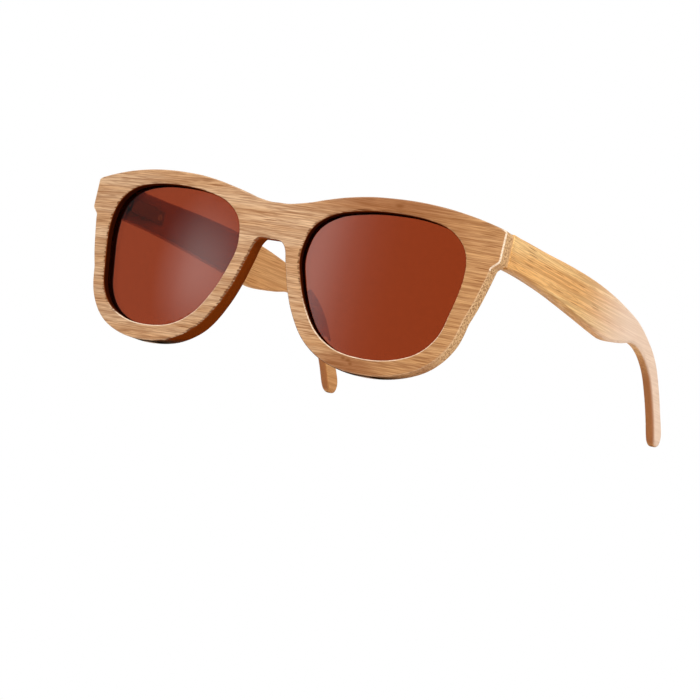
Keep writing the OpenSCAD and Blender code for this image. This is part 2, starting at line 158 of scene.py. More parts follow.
class TempleSizes(bpy.types.PropertyGroup):
    """Sizes of the two wooden temples."""

    temple_l: length("Temple length", "Length from the front end to the furthest point of the ear hook", 137)
    temple_t: length("Temple thickness", "Thickness at the hinge", 3.9)
    tip_t: length("Tip thickness", "Thickness at the tip of the ear hook", 3.2)
    temple_h: length("Temple height", "Height at the hinge", 10.1)
    paddle_h: length("Paddle height", "Height at the widest, ahead of the ear bend", 14.5)
    hook_w: length("Hook width", "Width of the ear hook", 5.8)
    hook_drop: length("Hook drop", "Drop of the ear hook below the hinge", 33)
    edge_r: length("Outer edge", "Rounding of the long edges on the outside", 1.2)
    end_edge: length("End edge", "Rounding of the edges at the front end", 0.35)
    temple_turn: angle("Temple turn", "Turn of an open temple towards the other one", 3.5)
    butt_gap: length("End gap", "Gap between the front end and the wing", 0.4)


class HingeSizes(bpy.types.PropertyGroup):
    """Sizes of the sprung hinges."""

    fit_clear: length("Fit clearance", "Clearance of a part in its pocket", 0.05)
    leaf_t: length("Leaf thickness", "Thickness of the leaf on the front", 1)
    knuckle_h: length("Knuckle height", "Height of one of the three knuckles", 1.9)
    knuckle_gap: length("Knuckle gap", "Gap between two knuckles", 0.1)
    case_l: length("Case length", "Length of the spring case", 12)
    case_t: length("Case thickness", "Thickness of the spring case", 3.8)
    case_h: length("Case height", "Height of the spring case", 4.2)
    foot_l: length("Foot length", "Length of the foot behind the spring case", 7)
    foot_t: length("Foot thickness", "Thickness of the foot behind the spring case", 1.4)
    wire_d: length("Wire diameter", "Diameter of the spring wire", 0.36)
    spring_curls: IntProperty(name="Curls", description="Number of curls in a spring", default=6, min=3, max=8)
    spring_travel: length("Spring travel", "Travel of a temple against its spring", 1.5)
    fixing_head_d: length("Screw head", "Diameter of a fixing screw's head", 2)
    slot_w: length("Slot width", "Width of the slot in a fixing screw's head", 0.36)
    slot_deep: length("Slot depth", "Depth of the slot in a fixing screw's head", 0.3)
    broken_edge: length("Broken edge", "Bevel along the edges of the hinge metal", 0.14)


class Finishes(bpy.types.PropertyGroup):
    """Colours of the wood, the lenses and the metal, and of the painted shade and painted highlight on the wood."""

    face_wood: colour("Face wood", "Main colour of the bamboo front", 212, 166, 122)
    face_pale: colour("Pale wood", "Paler bands of the bamboo front", 225, 187, 148)
    face_gold: colour("Golden wood", "Golden side of the bamboo front", 202, 150, 96)
    face_deep: colour("Deep wood", "Redder patches of the bamboo front", 162, 106, 68)
    face_fibre: colour("Fibres", "Dark fibres in the bamboo front", 128, 74, 34)
    end_wood: colour("End grain", "Cut ends of the bamboo front", 224, 180, 128)
    end_dot: colour("End dots", "Dots in the cut ends of the bamboo front", 138, 82, 34)
    # Partly painted shade: the fringe darkens where the cut walls lie in shade
    edge_wood: colour("Worn edge", "Worn edges of the bamboo front", 248, 226, 200)
    # Painted highlight: pale colour along the rounded edges, in place of light caught by the bevels
    burnt_edge: colour("Burnt edge", "Burnt fringe along the cut edges of the front", 98, 50, 18)
    # Partly painted shade: the nose walls are browned as burnt wood and darkened as shade
    wall_wood: colour("Cut walls", "Browned wall of the nose cut", 122, 51, 8)
    # Painted shade: near-black walls of the lens openings and the darkest part of the nose walls
    wall_dark: colour("Dark walls", "Darkened walls of the lens openings", 44, 10, 2)
    temple_wood: colour("Temple wood", "Main colour of the temples", 254, 209, 138)
    # Also a painted highlight on the temples' upward faces
    temple_deep: colour("Temple bands", "Deeper bands along the temples", 244, 181, 102)
    # Also painted shade on the temples' undersides
    temple_inner: colour("Inner side", "Inward side of the temples", 196, 134, 68)
    # Painted shade: the inner side towards the hinge, where the front shades it
    temple_brown: colour("Browned inner side", "Inward side of the temples towards the hinge", 128, 74, 42)
    temple_pale: colour("Ear wood", "Paler wood at the ear bend", 246, 216, 191)
    temple_fibre: colour("Temple fibres", "Dark fibres in the temples", 150, 88, 30)
    hook_end: colour("Hook edge", "Cut edge of the ear hook", 156, 92, 44)
    lens_tint: colour("Lens tint", "Colour of light seen through a lens", 149, 60, 29)
    plating: colour("Plating", "Dark bronze plating of the hinge metal", 112, 76, 52)
    steel: colour("Steel", "Colour of the springs and screws", 176, 166, 152)
    floor: colour("Floor", "Colour of the floor", 240, 238, 235)


def sizes_mm(group):
    """Values of a property group by name: lengths in millimetres, angles in radians, counts as they are."""
    values = {}
    for name, prop in group.bl_rna.properties.items():
        if prop.type == "FLOAT" and prop.unit == "LENGTH":
            values[name] = getattr(group, name) / MM
        elif prop.type in {"FLOAT", "INT"} and not getattr(prop, "is_array", False):
            values[name] = getattr(group, name)
    return values


def smooth_row(points, steps, closed=False):
    """Smooth curve through a row, or a loop, of points."""
    points = np.asarray(points, float)
    count = len(points)
    row = []
    for i in range(count if closed else count - 1):
        if closed:
            a, b, c, d = (points[(i + k) % count] for k in (-1, 0, 1, 2))
        else:
            a, b, c, d = (points[min(max(i + k, 0), count - 1)] for k in (-1, 0, 1, 2))
        for k in range(steps):
            s = k / steps
            row.append(
                0.5 * (2 * b + (c - a) * s + (2 * a - 5 * b + 4 * c - d) * s**2 + (3 * b - a - 3 * c + d) * s**3)
            )
    if not closed:
        row.append(points[-1])
    return np.array(row)


def fillet(before, corner, after, radius, steps=4):
    """Points that round the corner between two straight stretches."""
    before, corner, after = (np.asarray(p, float) for p in (before, corner, after))
    start = corner + radius * (before - corner) / np.linalg.norm(before - corner)
    end = corner + radius * (after - corner) / np.linalg.norm(after - corner)
    return [(1 - s) ** 2 * start + 2 * s * (1 - s) * corner + s**2 * end for s in np.linspace(0, 1, steps + 1)]


def right_of(loop):
    """Sideways step to the right of a loop at each point, which keeps every stretch parallel."""
    edge = np.roll(loop, -1, axis=0) - loop
    edge /= np.linalg.norm(edge, axis=1)[:, None]
    normal = np.stack([edge[:, 1], -edge[:, 0]], axis=1)
    both = normal + np.roll(normal, 1, axis=0)
    share = 1 + np.sum(normal * np.roll(normal, 1, axis=0), axis=1)
    return both / np.maximum(share, 0.3)[:, None]


def smoothstep(values):
    """Soft step from 0 to 1."""
    values = np.clip(values, 0, 1)
    return values * values * (3 - 2 * values)


def inside(points, loop):
    """Whether each point lies inside a loop."""
    a, b = loop, np.roll(loop, -1, axis=0)
    x, y = points[:, 0][:, None], points[:, 1][:, None]
    crosses = (a[None, :, 1] > y) != (b[None, :, 1] > y)
    rise = np.where(np.abs(b[:, 1] - a[:, 1]) < 1e-12, 1e-12, b[:, 1] - a[:, 1])
    at = (b[:, 0] - a[:, 0])[None] * (y - a[None, :, 1]) / rise[None] + a[None, :, 0]
    return np.sum(crosses & (x < at), axis=1) % 2 == 1


def rectangle(x0, x1, high, steps):
    """Loop round a rectangle as high above the middle as below it, with so many steps to a side."""
    corners = [(x0, -high), (x1, -high), (x1, high), (x0, high)]
    sides = zip(corners, corners[1:] + corners[:1])
    return np.concatenate([np.linspace(a, b, steps + 1)[:-1] for a, b in sides])


@contextmanager
def opened(mesh):
    """Body of a mesh to work on, written back afterwards."""
    body = bmesh.new()
    body.from_mesh(mesh)
    yield body
    body.to_mesh(mesh)
    body.free()


def check_closed(name, body):
    """Stops the build where a body has open edges."""
    loose = [edge for edge in body.edges if len(edge.link_faces) != 2]
    if loose:
        raise RuntimeError(f"{name} isn't closed: {len(loose)} open edges")


class Shell:
    """Points and faces of one piece, in millimetres, with the tone of each point, partly burnt wood and partly
    painted shade, and its painted edge highlight.
    """

    ROW_RISE = 0.866
    KEEP_OFF = 0.6
    MARGIN = 9

    def __init__(self):
        self.points, self.faces, self.cut, self.edge = [], [], [], []

    # cut carries the wall tone, partly painted shade, and edge the painted edge highlight
    def add(self, points, cut=0.0, edge=0.0):
        """Adds points and returns their numbers."""
        first = len(self.points)
        count = len(points)
        self.points.extend(np.asarray(points, float))
        self.cut.extend(np.broadcast_to(cut, count))
        self.edge.extend(np.broadcast_to(edge, count))
        return np.arange(first, first + count)

    def bridge(self, one, two):
        """Band of faces between two rings."""
        for i in range(len(one)):
            k = (i + 1) % len(one)
            self.faces.append((one[i], one[k], two[k], two[i]))

    def sleeve(self, rings):
        """Bands of faces from ring to ring."""
        for one, two in zip(rings, rings[1:]):
            self.bridge(one, two)

    def fill(self, flat_loops, numbers, place, spacing):
        """Face between an outer loop and the loops inside it, with points spread over it."""
        flat = np.concatenate(flat_loops)
        ids = np.concatenate(numbers)
        edges, first = [], 0
        for loop in flat_loops:
            count = len(loop)
            edges += [(first + i, first + (i + 1) % count) for i in range(count)]
            first += count
        low, high = flat_loops[0].min(axis=0), flat_loops[0].max(axis=0)
        rows = np.arange(low[1], high[1], spacing * self.ROW_RISE)
        grid = np.array(
            [
                (x, z)
                for r, z in enumerate(rows)
                for x in np.arange(low[0] + (r % 2) * spacing / 2, high[0], spacing)
            ]
        )
        wanted = inside(grid, flat_loops[0])
        for loop in flat_loops[1:]:
            wanted &= ~inside(grid, loop)
        grid = grid[wanted]
        near = np.array([np.min(np.sum((flat - p) ** 2, axis=1)) for p in grid])
        grid = grid[near > (self.KEEP_OFF * spacing) ** 2]
        ids = np.concatenate([ids, self.add(place(grid))])
        seeds = np.concatenate([flat, grid])
        (x0, y0), (x1, y1) = low - self.MARGIN, high + self.MARGIN
        corners = [(x0, y0), (x1, y0), (x1, y1), (x0, y1)]
        found = delaunay_2d_cdt([Vector(p) for p in (*seeds, *corners)], edges, [], 0, WELD)
        source = [origin[0] for origin in found[3]]
        triangles = [[source[i] for i in triangle] for triangle in found[2]]
        walls = {frozenset(edge) for edge in edges}
        beside = {}
        for number, triangle in enumerate(triangles):
            for i in range(3):
                beside.setdefault(frozenset((triangle[i - 1], triangle[i])), []).append(number)
        # From the corners inwards, each wall that is crossed leads into the wood or out of it
        start = next(n for n, triangle in enumerate(triangles) if max(triangle) >= len(seeds))
        in_wood, waiting = {start: False}, [start]
        while waiting:
            number = waiting.pop()
            triangle = triangles[number]
            for i in range(3):
                edge = frozenset((triangle[i - 1], triangle[i]))
                for other in beside[edge]:
                    if other not in in_wood:
                        in_wood[other] = in_wood[number] != (edge in walls)
                        waiting.append(other)
        self.faces += [tuple(ids[i] for i in t) for n, t in enumerate(triangles) if in_wood[n]]

    def piece(self, name, material, to_frame):
        """Mesh object of the shell, with large faces kept smooth and flat up to their edges."""
        points = to_frame(np.array(self.points)) * MM
        mesh = bpy.data.meshes.new(name)
        mesh.from_pydata(points.tolist(), [], [[int(i) for i in face] for face in self.faces])
        for title, values in (("cut_wall", self.cut), ("worn_edge", self.edge)):
            attribute = mesh.attributes.new(title, "FLOAT", "POINT")
            attribute.data.foreach_set("value", np.asarray(values, np.float32))
        with opened(mesh) as body:
            bmesh.ops.recalc_face_normals(body, faces=body.faces)
            check_closed(name, body)
        return finished(name, mesh, material)


def finished(name, mesh, material):
    """Object of a mesh, shaded smooth with normals weighed by the faces' areas."""
    mesh.materials.append(material)
    mesh.shade_smooth()
    normals = np.zeros((len(mesh.vertices), 3))
    for polygon in mesh.polygons:
        for i in polygon.vertices:
            normals[i] += np.array(polygon.normal) * polygon.area
    lengths = np.linalg.norm(normals, axis=1)
    least = 1e-15
    normals[lengths < least] = (0, 0, 1)
    normals /= np.maximum(lengths, least)[:, None]
    mesh.normals_split_custom_set_from_vertices(normals.tolist())
    piece = bpy.data.objects.new(name, mesh)
    bpy.context.scene.collection.objects.link(piece)
    return piece


class FrontPlan:
    """Outlines of the front and of its lens openings, in millimetres from the middle of the openings."""

    STEPS, WING_STEPS, END_STEPS, NOTCH_STEPS = 8, 32, 11, 3
    RIM_SIDE, RIM_NOSE = 17, 9  # points of the lens form where the rim leaves the wing and joins the nose cut
    BRIDGE_FLAT, BRIDGE_SAG = 4, 60  # half width of the flat middle, and the part of the brow's rise it sags by
    WING_RISE = 0.2
    WING_LEAN = 0.1
    WING_ROUND = 0.8
    NOTCH_ROUND = 0.6
    TURN_REACH = 9
    FLARE_LIFT = 0.1
    FLARE_FADE = 0.8

    def __init__(self, scene):
        s = sizes_mm(scene.sunglasses_front)
        self.s = s
        self.eye_x = s["bridge_w"] / 2 + s["lens_w"] / 2
        lens_top = s["lens_h"] / 2
        self.bridge_top = lens_top - s["bridge_drop"]
        self.bridge_low = self.bridge_top - s["bridge_h"]
        self.brow_top = lens_top + s["brow_h"]
        self.wing_x = self.eye_x + s["lens_w"] / 2 + s["wing_reach"]
        self.wing_top = lens_top + self.WING_RISE
        self.wing_low = self.wing_top - s["wing_h"]
        form = np.array(
            [
                (100, 28), (95, 64), (75, 88), (44, 98), (6, 100), (-34, 96), (-70, 85), (-93, 62), (-100, 26),
                (-93, -8), (-80, -43), (-60, -75), (-32, -95), (2, -101), (36, -97), (66, -82), (85, -56), (93, -23),
            ]
        )
        half = np.array([s["lens_w"], s["lens_h"]]) / 2
        self.lens_loop = smooth_row(np.array([self.eye_x, 0]) + form / 100 * half, self.STEPS, closed=True)
        self.rim_loop = self.lens_loop + s["rim_w"] * right_of(self.lens_loop)
        self.rim_low = self.rim_loop[:, 1].min()
        self.outline()

    def outline(self):
        """Half outline of the front, from the top of the bridge round the wing and rim to its underside."""
        s = self.s
        half_w, rise = s["bridge_w"] / 2, self.brow_top - self.bridge_top
        beside = self.bridge_top + rise / self.BRIDGE_SAG
        forms = [(-1.2, 22), (7.7, 43), (21.2, 70), (36.5, 90), (51.9, 98.4), (61.5, 100)]
        flat = self.BRIDGE_FLAT
        brow = [(-flat, self.bridge_top), (0, self.bridge_top), (flat, beside)]
        brow += [(half_w + u / 100 * s["lens_w"], self.bridge_top + v / 100 * rise) for u, v in forms]
        brow = smooth_row(brow, self.STEPS)
        start = brow[-1][0]
        wing = [
            (start + (self.wing_x - start) * k, self.brow_top - (self.brow_top - self.wing_top) * k**2)
            for k in np.linspace(0, 1, self.WING_STEPS + 1)[1:-2]
        ]
        top_end = (self.wing_x, self.wing_top)
        low_end = (self.wing_x - self.WING_LEAN, self.wing_low)
        rim_start, rim_end = self.RIM_SIDE * self.STEPS, self.RIM_NOSE * self.STEPS
        rim_side = self.rim_loop[rim_start]
        drop = self.wing_low - rim_side[1]
        forms = [(23.5, 10.9), (35.7, 38.2), (53.1, 72.1)]
        side = [(self.wing_x - u / 100 * s["wing_reach"], self.wing_low - v / 100 * drop) for u, v in forms]
        notch = side[0]
        side = smooth_row([*side, rim_side], self.STEPS)
        rim = self.rim_loop[rim_start : rim_end - 1 : -1]
        inner = half_w - s["rim_w"]
        forms = [(100, 50), (87.7, 25), (70.8, 8.9), (46.2, 0.9), (0, 0)]
        arch = [(u / 100 * inner, self.bridge_low - v / 100 * s["bridge_h"]) for u, v in forms]
        arch = smooth_row([*arch, (-flat, self.bridge_low)], self.STEPS)
        end = fillet(wing[-1], top_end, low_end, self.WING_ROUND)
        low_turn = fillet(top_end, low_end, notch, self.WING_ROUND)
        notch_turn = fillet(low_end, notch, side[2], self.NOTCH_ROUND)
        for turn, steps in ((low_turn, self.END_STEPS), (notch_turn, self.NOTCH_STEPS)):
            end += [*np.linspace(end[-1], turn[0], steps + 1)[1:-1], *turn]
        rows = [brow[brow[:, 0] > -1e-6], wing, end, side[2:-1], rim, arch[arch[:, 0] > -1e-6]]
        self.half_loop = np.concatenate([np.asarray(row, float) for row in rows])
        end_at, side_at, rim_at, arch_at = np.cumsum([len(row) for row in rows])[1:5]
        # Share of the nose flare along the half outline: whole at the bridge, dying out round the rim
        self.half_fade = np.zeros(len(self.half_loop))
        self.half_fade[arch_at:] = 1
        half_rim = (rim_start - rim_end) // 2
        along = np.clip((np.arange(len(rim)) - half_rim) / half_rim, 0, 1)
        self.half_fade[rim_at:arch_at] = np.where(along > 0, np.sin(np.pi / 2 * along), 0)
        # The end of the wing, where the painted edge highlight is strongest
        self.half_tip = np.zeros(len(self.half_loop))
        self.half_tip[end_at:side_at] = 1

    def whole(self, half_values):
        """Values of the half outline carried on round the mirrored half."""
        half_values = np.asarray(half_values, float)
        if half_values.ndim == 1:
            return np.concatenate([half_values, half_values[-2:0:-1]])
        mirrored = half_values[-2:0:-1] * (-1, 1)
        return np.concatenate([half_values, mirrored])

    def turn_at(self, u):
        """Turn of the walls at a distance from the middle: none at the middle, whole past the bridge."""
        return self.s["eye_turn"] * smoothstep(np.abs(u) / self.TURN_REACH)

    def depth_along(self, u, d):
        """Distance along the walls from the flat plane of a lens to depth d in the front."""
        a, turn, r = np.abs(u), self.turn_at(u), self.s["face_r"]
        across = a**2 - 2 * a * r * np.sin(turn) + r**2 - (r - d) ** 2
        return r * np.cos(turn) - np.sqrt((r * np.cos(turn)) ** 2 - across)

    def place(self, flat, d):
        """Points of the front from flat outline points and their depth."""
        flat = np.asarray(flat, float)
        u, turn = flat[:, 0], self.turn_at(flat[:, 0])
        y = self.depth_along(u, d)
        x = np.sign(u) * (np.abs(u) * np.cos(turn) - y * np.sin(turn))
        return np.stack([x, np.abs(u) * np.sin(turn) + y * np.cos(turn), flat[:, 1]], axis=1)

    def flare(self, loop, fade, d):
        """Depth of the nose flare into the wood at depth d."""
        s = self.s
        start = s["front_t"] / 3
        share = (self.depth_along(loop[:, 0], d) - start) / (s["front_t"] - start)
        into = s["nose_flare"] * share * fade - self.FLARE_LIFT - self.FLARE_FADE * (1 - fade)
        return np.where(share > 0, np.maximum(into, 0), 0)


class HingePlan:
    """Place of the hinge and of the open temple behind the right wing, in millimetres."""

    LEAF_TURN = math.radians(12)
    PIN_IN, PIN_BEHIND, PIN_UP = 6.8, 3.8, 4.2
    BUTT_IN = 1
    PIN_TO_SEAT = 4.75
    LEAF_IN = 2
    LEAF_OUT = 3.6
    FIN_OUT = 0.8
    TEMPLE_OUT = 5.65
    ROD_X = 0.9
    CASE_Y = 3
    CASE_WALL = 1.4
    CASE_SHIFT = 0.1
    STOP_RUN = 6.6
    STOP_D = 2.06
    LEAF_SCREWS = (-0.3, 0.3)
    FOOT_SCREWS = (0.27, 0.73)
    SLOT_TURNS = (0.4, -0.9)
    POCKET_STEPS = 6

    def __init__(self, scene):
        front = FrontPlan(scene)
        s = sizes_mm(scene.sunglasses_hinge)
        t = sizes_mm(scene.sunglasses_temple)
        self.front, self.s, self.t = front, s, t
        r, thick = front.s["face_r"], front.s["front_t"]
        self.pin = np.array([front.wing_x - self.PIN_IN, 0, front.wing_low + self.PIN_UP])
        self.pin[1] = r - math.sqrt((r - thick) ** 2 - self.pin[0] ** 2) + self.PIN_BEHIND
        self.leaf_h = 3 * s["knuckle_h"] + 2 * s["knuckle_gap"]
        self.case_x = self.ROD_X - s["case_t"] / 2 + self.CASE_SHIFT
        self.case_end = self.CASE_Y + s["case_l"]
        self.foot_x = self.case_x + s["case_t"] - s["foot_t"]
        self.stop_y = self.CASE_Y + self.CASE_WALL + self.STOP_RUN
        self.coil_d = self.STOP_D - s["wire_d"]
        turn = t["temple_turn"]
        self.butt_tilt = self.LEAF_TURN - turn
        back_x = front.wing_x - self.BUTT_IN
        back_y = r - math.sqrt((r - thick) ** 2 - back_x**2)
        across, ahead = back_x - self.pin[0], back_y - self.pin[1]
        self.butt_y = across * math.sin(-turn) + ahead * math.cos(-turn) + t["butt_gap"]
        self.base = np.array([0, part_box("front_frame")[0].y / MM, -front.rim_low])

    def at_pin(self, points, turn):
        """Points given in a frame at the hinge pin, turned in plan."""
        points = np.asarray(points, float)
        x = points[:, 0] * math.cos(turn) - points[:, 1] * math.sin(turn)
        y = points[:, 0] * math.sin(turn) + points[:, 1] * math.cos(turn)
        return self.pin + np.stack([x, y, points[:, 2]], axis=1)

    def on_side(self, side):
        """Carries points of the right side into the frame, or their mirror image for side -1."""
        return lambda points: np.asarray(points) * (side, 1, 1) + self.base

    def leaf_pocket(self, side):
        """Rim of the leaf pocket on the back of the front, flat and in place, and its floor."""
        front, clear = self.front, self.s["fit_clear"]
        x0, x1 = -self.LEAF_IN - clear, self.LEAF_OUT + clear
        local = rectangle(x0, x1, self.leaf_h / 2 + clear, self.POCKET_STEPS)
        floor = self.at_pin([(x, -self.PIN_TO_SEAT, z) for x, z in local], self.LEAF_TURN)
        out = np.array([-math.sin(self.LEAF_TURN), math.cos(self.LEAF_TURN), 0])
        centre = np.array([0, front.s["face_r"]])
        radius = front.s["face_r"] - front.s["front_t"]
        rim = []
        for p in floor:
            to = p[:2] - centre
            reach = -to @ out[:2] - math.sqrt((to @ out[:2]) ** 2 - to @ to + radius**2)
            rim.append(p + out * reach)
        rim = np.array(rim)
        turn = front.s["eye_turn"]
        flat = np.stack([rim[:, 0] * math.cos(turn) + rim[:, 1] * math.sin(turn), rim[:, 2]], axis=1)
        return flat * (side, 1), rim * (side, 1, 1), floor * (side, 1, 1)


def temple_outline(t, steps):
    """Edge of a temple from the bottom of its front end round the ear hook to the top of its front end."""
    h, p, w, end = t["temple_h"], t["paddle_h"], t["hook_w"], t["temple_l"]
    top = [(0, 0.53 * h), (7.3, 0.56 * h), (18.25, 0.57 * h), (29.2, 0.42 * p), (40.9, 0.42 * p), (49.65, 0.39 * p)]
    top += [(58.4, 0.32 * p)]
    low = [(57.65, -0.64 * p), (51.8, -0.62 * p), (42.35, -0.54 * p), (31.4, -0.45 * p), (21.9, -0.55 * h)]
    low += [(10.95, -0.49 * h), (0, -0.48 * h)]
    top, low = ([(share / 100 * end, height) for share, height in row] for row in (top, low))
    line = [(-142.4, -6.7), (-118.2, -6.4), (-100, -9.7), (-83.3, -15.5), (-68.2, -23), (-53, -34.2), (-36.4, -52.4)]
    line += [(-22.7, -70.6), (-8.5, -91.2)]
    line = np.array(line) / 100 * t["hook_drop"] + (end, 0)
    half = w * np.array([0.95, 0.69, 0.56, 0.5, 0.5, 0.5, 0.5, 0.5, 0.5])
    final = len(line) - 1
    along = np.array([line[min(i + 1, final)] - line[max(i - 1, 0)] for i in range(len(line))])
    along /= np.linalg.norm(along, axis=1)[:, None]
    aside = np.stack([-along[:, 1], along[:, 0]], axis=1) * half[:, None]
    tip = line[-1] + along[-1] * w / 2
    row = list(reversed(low)) + list(line - aside) + [tip] + list((line + aside)[::-1]) + list(reversed(top))
    return smooth_row(row, steps)


def feed(tree, target, inputs):
    """Links or sets inputs of a node."""
    for name, value in inputs.items():
        if isinstance(value, bpy.types.NodeSocket):
            tree.links.new(value, target.inputs[name])
        else:
            target.inputs[name].default_value = value


def node(tree, kind, inputs=None, **settings):
    """Adds a node with its settings and inputs."""
    added = tree.nodes.new(kind)
    for name, value in settings.items():
        setattr(added, name, value)
    feed(tree, added, inputs or {})
    return added


def mixed(tree, share, one, two):
    """Mix of two colours."""
    return node(tree, "ShaderNodeMix", {0: share, 6: one, 7: two}, data_type="RGBA").outputs[2]


def maths(tree, operation, one, two=0.0):
    """Result of a sum on one or two numbers."""
    return node(tree, "ShaderNodeMath", {0: one, 1: two}, operation=operation).outputs[0]


def times(tree, one, two):
    """Product of two numbers."""
    return maths(tree, "MULTIPLY", one, two)


def strongest(tree, *layers):
    """Largest of several layers, each given with its strength."""
    values = [times(tree, layer, strength) for layer, strength in layers]
    most = values[0]
    for value in values[1:]:
        most = maths(tree, "MAXIMUM", most, value)
    return most


def ranged(tree, value, low, high, out_low=0.0, out_high=1.0):
    """Soft step of a value between two bounds."""
    inputs = {"Value": value, "From Min": low, "From Max": high, "To Min": out_low, "To Max": out_high}
    return node(tree, "ShaderNodeMapRange", inputs, interpolation_type="SMOOTHSTEP").outputs[0]


def split(tree, vector):
    """The three numbers of a vector."""
    return tuple(node(tree, "ShaderNodeSeparateXYZ", {0: vector}).outputs)


def joined(tree, *numbers):
    """Vector of up to three numbers."""
    return node(tree, "ShaderNodeCombineXYZ", dict(enumerate(numbers))).outputs[0]


def red_of(tree, colour):
    """Red share of a colour."""
    return node(tree, "ShaderNodeSeparateColor", {0: colour}).outputs[0]


def stretched(tree, vector, scale):
    """Coordinates stretched along each axis."""
    return node(tree, "ShaderNodeVectorMath", {0: vector, 1: scale}, operation="MULTIPLY").outputs[0]


def turned(tree, vector, spin):
    """Vector turned about the upright axis."""
    inputs = {"Vector": vector, "Angle": spin}
    return node(tree, "ShaderNodeVectorRotate", inputs, rotation_type="Z_AXIS").outputs[0]


def noise(tree, vector, scale, detail=2.0, rough=0.5):
    """Soft noise from 0 to 1, with its scale along each axis."""
    inputs = {"Vector": stretched(tree, vector, scale), "Scale": 1.0, "Detail": detail, "Roughness": rough}
    return node(tree, "ShaderNodeTexNoise", inputs).outputs[0]


def bumped(tree, height, strength, distance):
    """Normals of a surface with a fine height."""
    inputs = {"Height": height, "Strength": strength, "Distance": distance}
    return node(tree, "ShaderNodeBump", inputs).outputs[0]


def new_material(name):
    """Empty material, its node tree, its shader and the piece's own coordinates."""
    material = bpy.data.materials.new(name)
    material.use_nodes = True
    tree = material.node_tree
    return material, tree, tree.nodes["Principled BSDF"], tree.nodes.new("ShaderNodeTexCoord").outputs


def fibre_marks(tree, vector, along, across, width=0.44, fewest=0.1):
    """Bamboo fibre bundles: long thin rods that show as dashes along the wood and as dots on its cut ends."""
    wander = noise(tree, vector, (along * 0.6, across * 0.18, across * 0.18), 1.0)
    base = stretched(tree, vector, (along, across, across))
    shift = joined(tree, 0.0, wander, wander)
    moved = node(tree, "ShaderNodeVectorMath", {0: base, 1: shift}, operation="ADD").outputs[0]
    cells = node(tree, "ShaderNodeTexVoronoi", {"Vector": moved, "Scale": 1.0, "Randomness": 1.0}).outputs
    dot = ranged(tree, cells["Distance"], width, 0.4 * width)
    return times(tree, dot, ranged(tree, red_of(tree, cells["Color"]), fewest, 0.8))


def end_dots(tree, vector, across):
    """Cut fibre bundles: dots over the end grain."""
    flat = stretched(tree, joined(tree, *split(tree, vector)[1:]), (across, across, 0))
    cells = node(tree, "ShaderNodeTexVoronoi", {"Vector": flat, "Scale": 1.0}, voronoi_dimensions="2D").outputs
    dot = ranged(tree, cells["Distance"], 0.56, 0.26)
    return times(tree, dot, ranged(tree, red_of(tree, cells["Color"]), 0.0, 0.7, 0.25, 1.0))


def oval(tree, grain, along, up, wide, high):
    """Soft oval patch on the front, in metres along it and up."""
    x, _, z = split(tree, grain)
    a = maths(tree, "DIVIDE", maths(tree, "SUBTRACT", x, along), wide)
    b = maths(tree, "DIVIDE", maths(tree, "SUBTRACT", z, up), high)
    square = maths(tree, "ADD", times(tree, a, a), times(tree, b, b))
    return ranged(tree, maths(tree, "SQRT", square), 1.3, 0.25)


def grain_lines(tree, vector, scale, width):
    """Thin lines that run along the wood, where soft noise crosses its middle."""
    across = maths(tree, "SUBTRACT", noise(tree, vector, scale, 2.0, 0.55), 0.5)
    return ranged(tree, maths(tree, "ABSOLUTE", across), width, 0.0)


def bent_grain(tree, place, radius, face_y):
    """Coordinates of wood bent with the front: along the face, into it and up."""
    x, y, z = split(tree, place)
    ahead = maths(tree, "SUBTRACT", face_y + radius, y)
    along = times(tree, maths(tree, "ARCTAN2", x, ahead), radius)
    square = times(tree, ahead, ahead)
    away = node(tree, "ShaderNodeMath", {0: x, 1: x, 2: square}, operation="MULTIPLY_ADD").outputs[0]
    depth = maths(tree, "SUBTRACT", radius, maths(tree, "SQRT", away))
    return joined(tree, along, depth, z)


def wood_surface(tree, shader, face, fine, streaks, pits, streak_rough, least_rough, relief):
    """Gives a shader the colour of wood, and a polish and pores that follow its grain."""
    rough = maths(tree, "ADD", times(tree, streaks, streak_rough), times(tree, fine, 0.2))
    height = maths(tree, "SUBTRACT", times(tree, fine, 0.4), pits)
    pore_depth = 0.00006
    inputs = {"Base Color": face, "Roughness": maths(tree, "ADD", rough, least_rough)}
    inputs["Normal"] = bumped(tree, height, relief, pore_depth)
    feed(tree, shader, inputs)


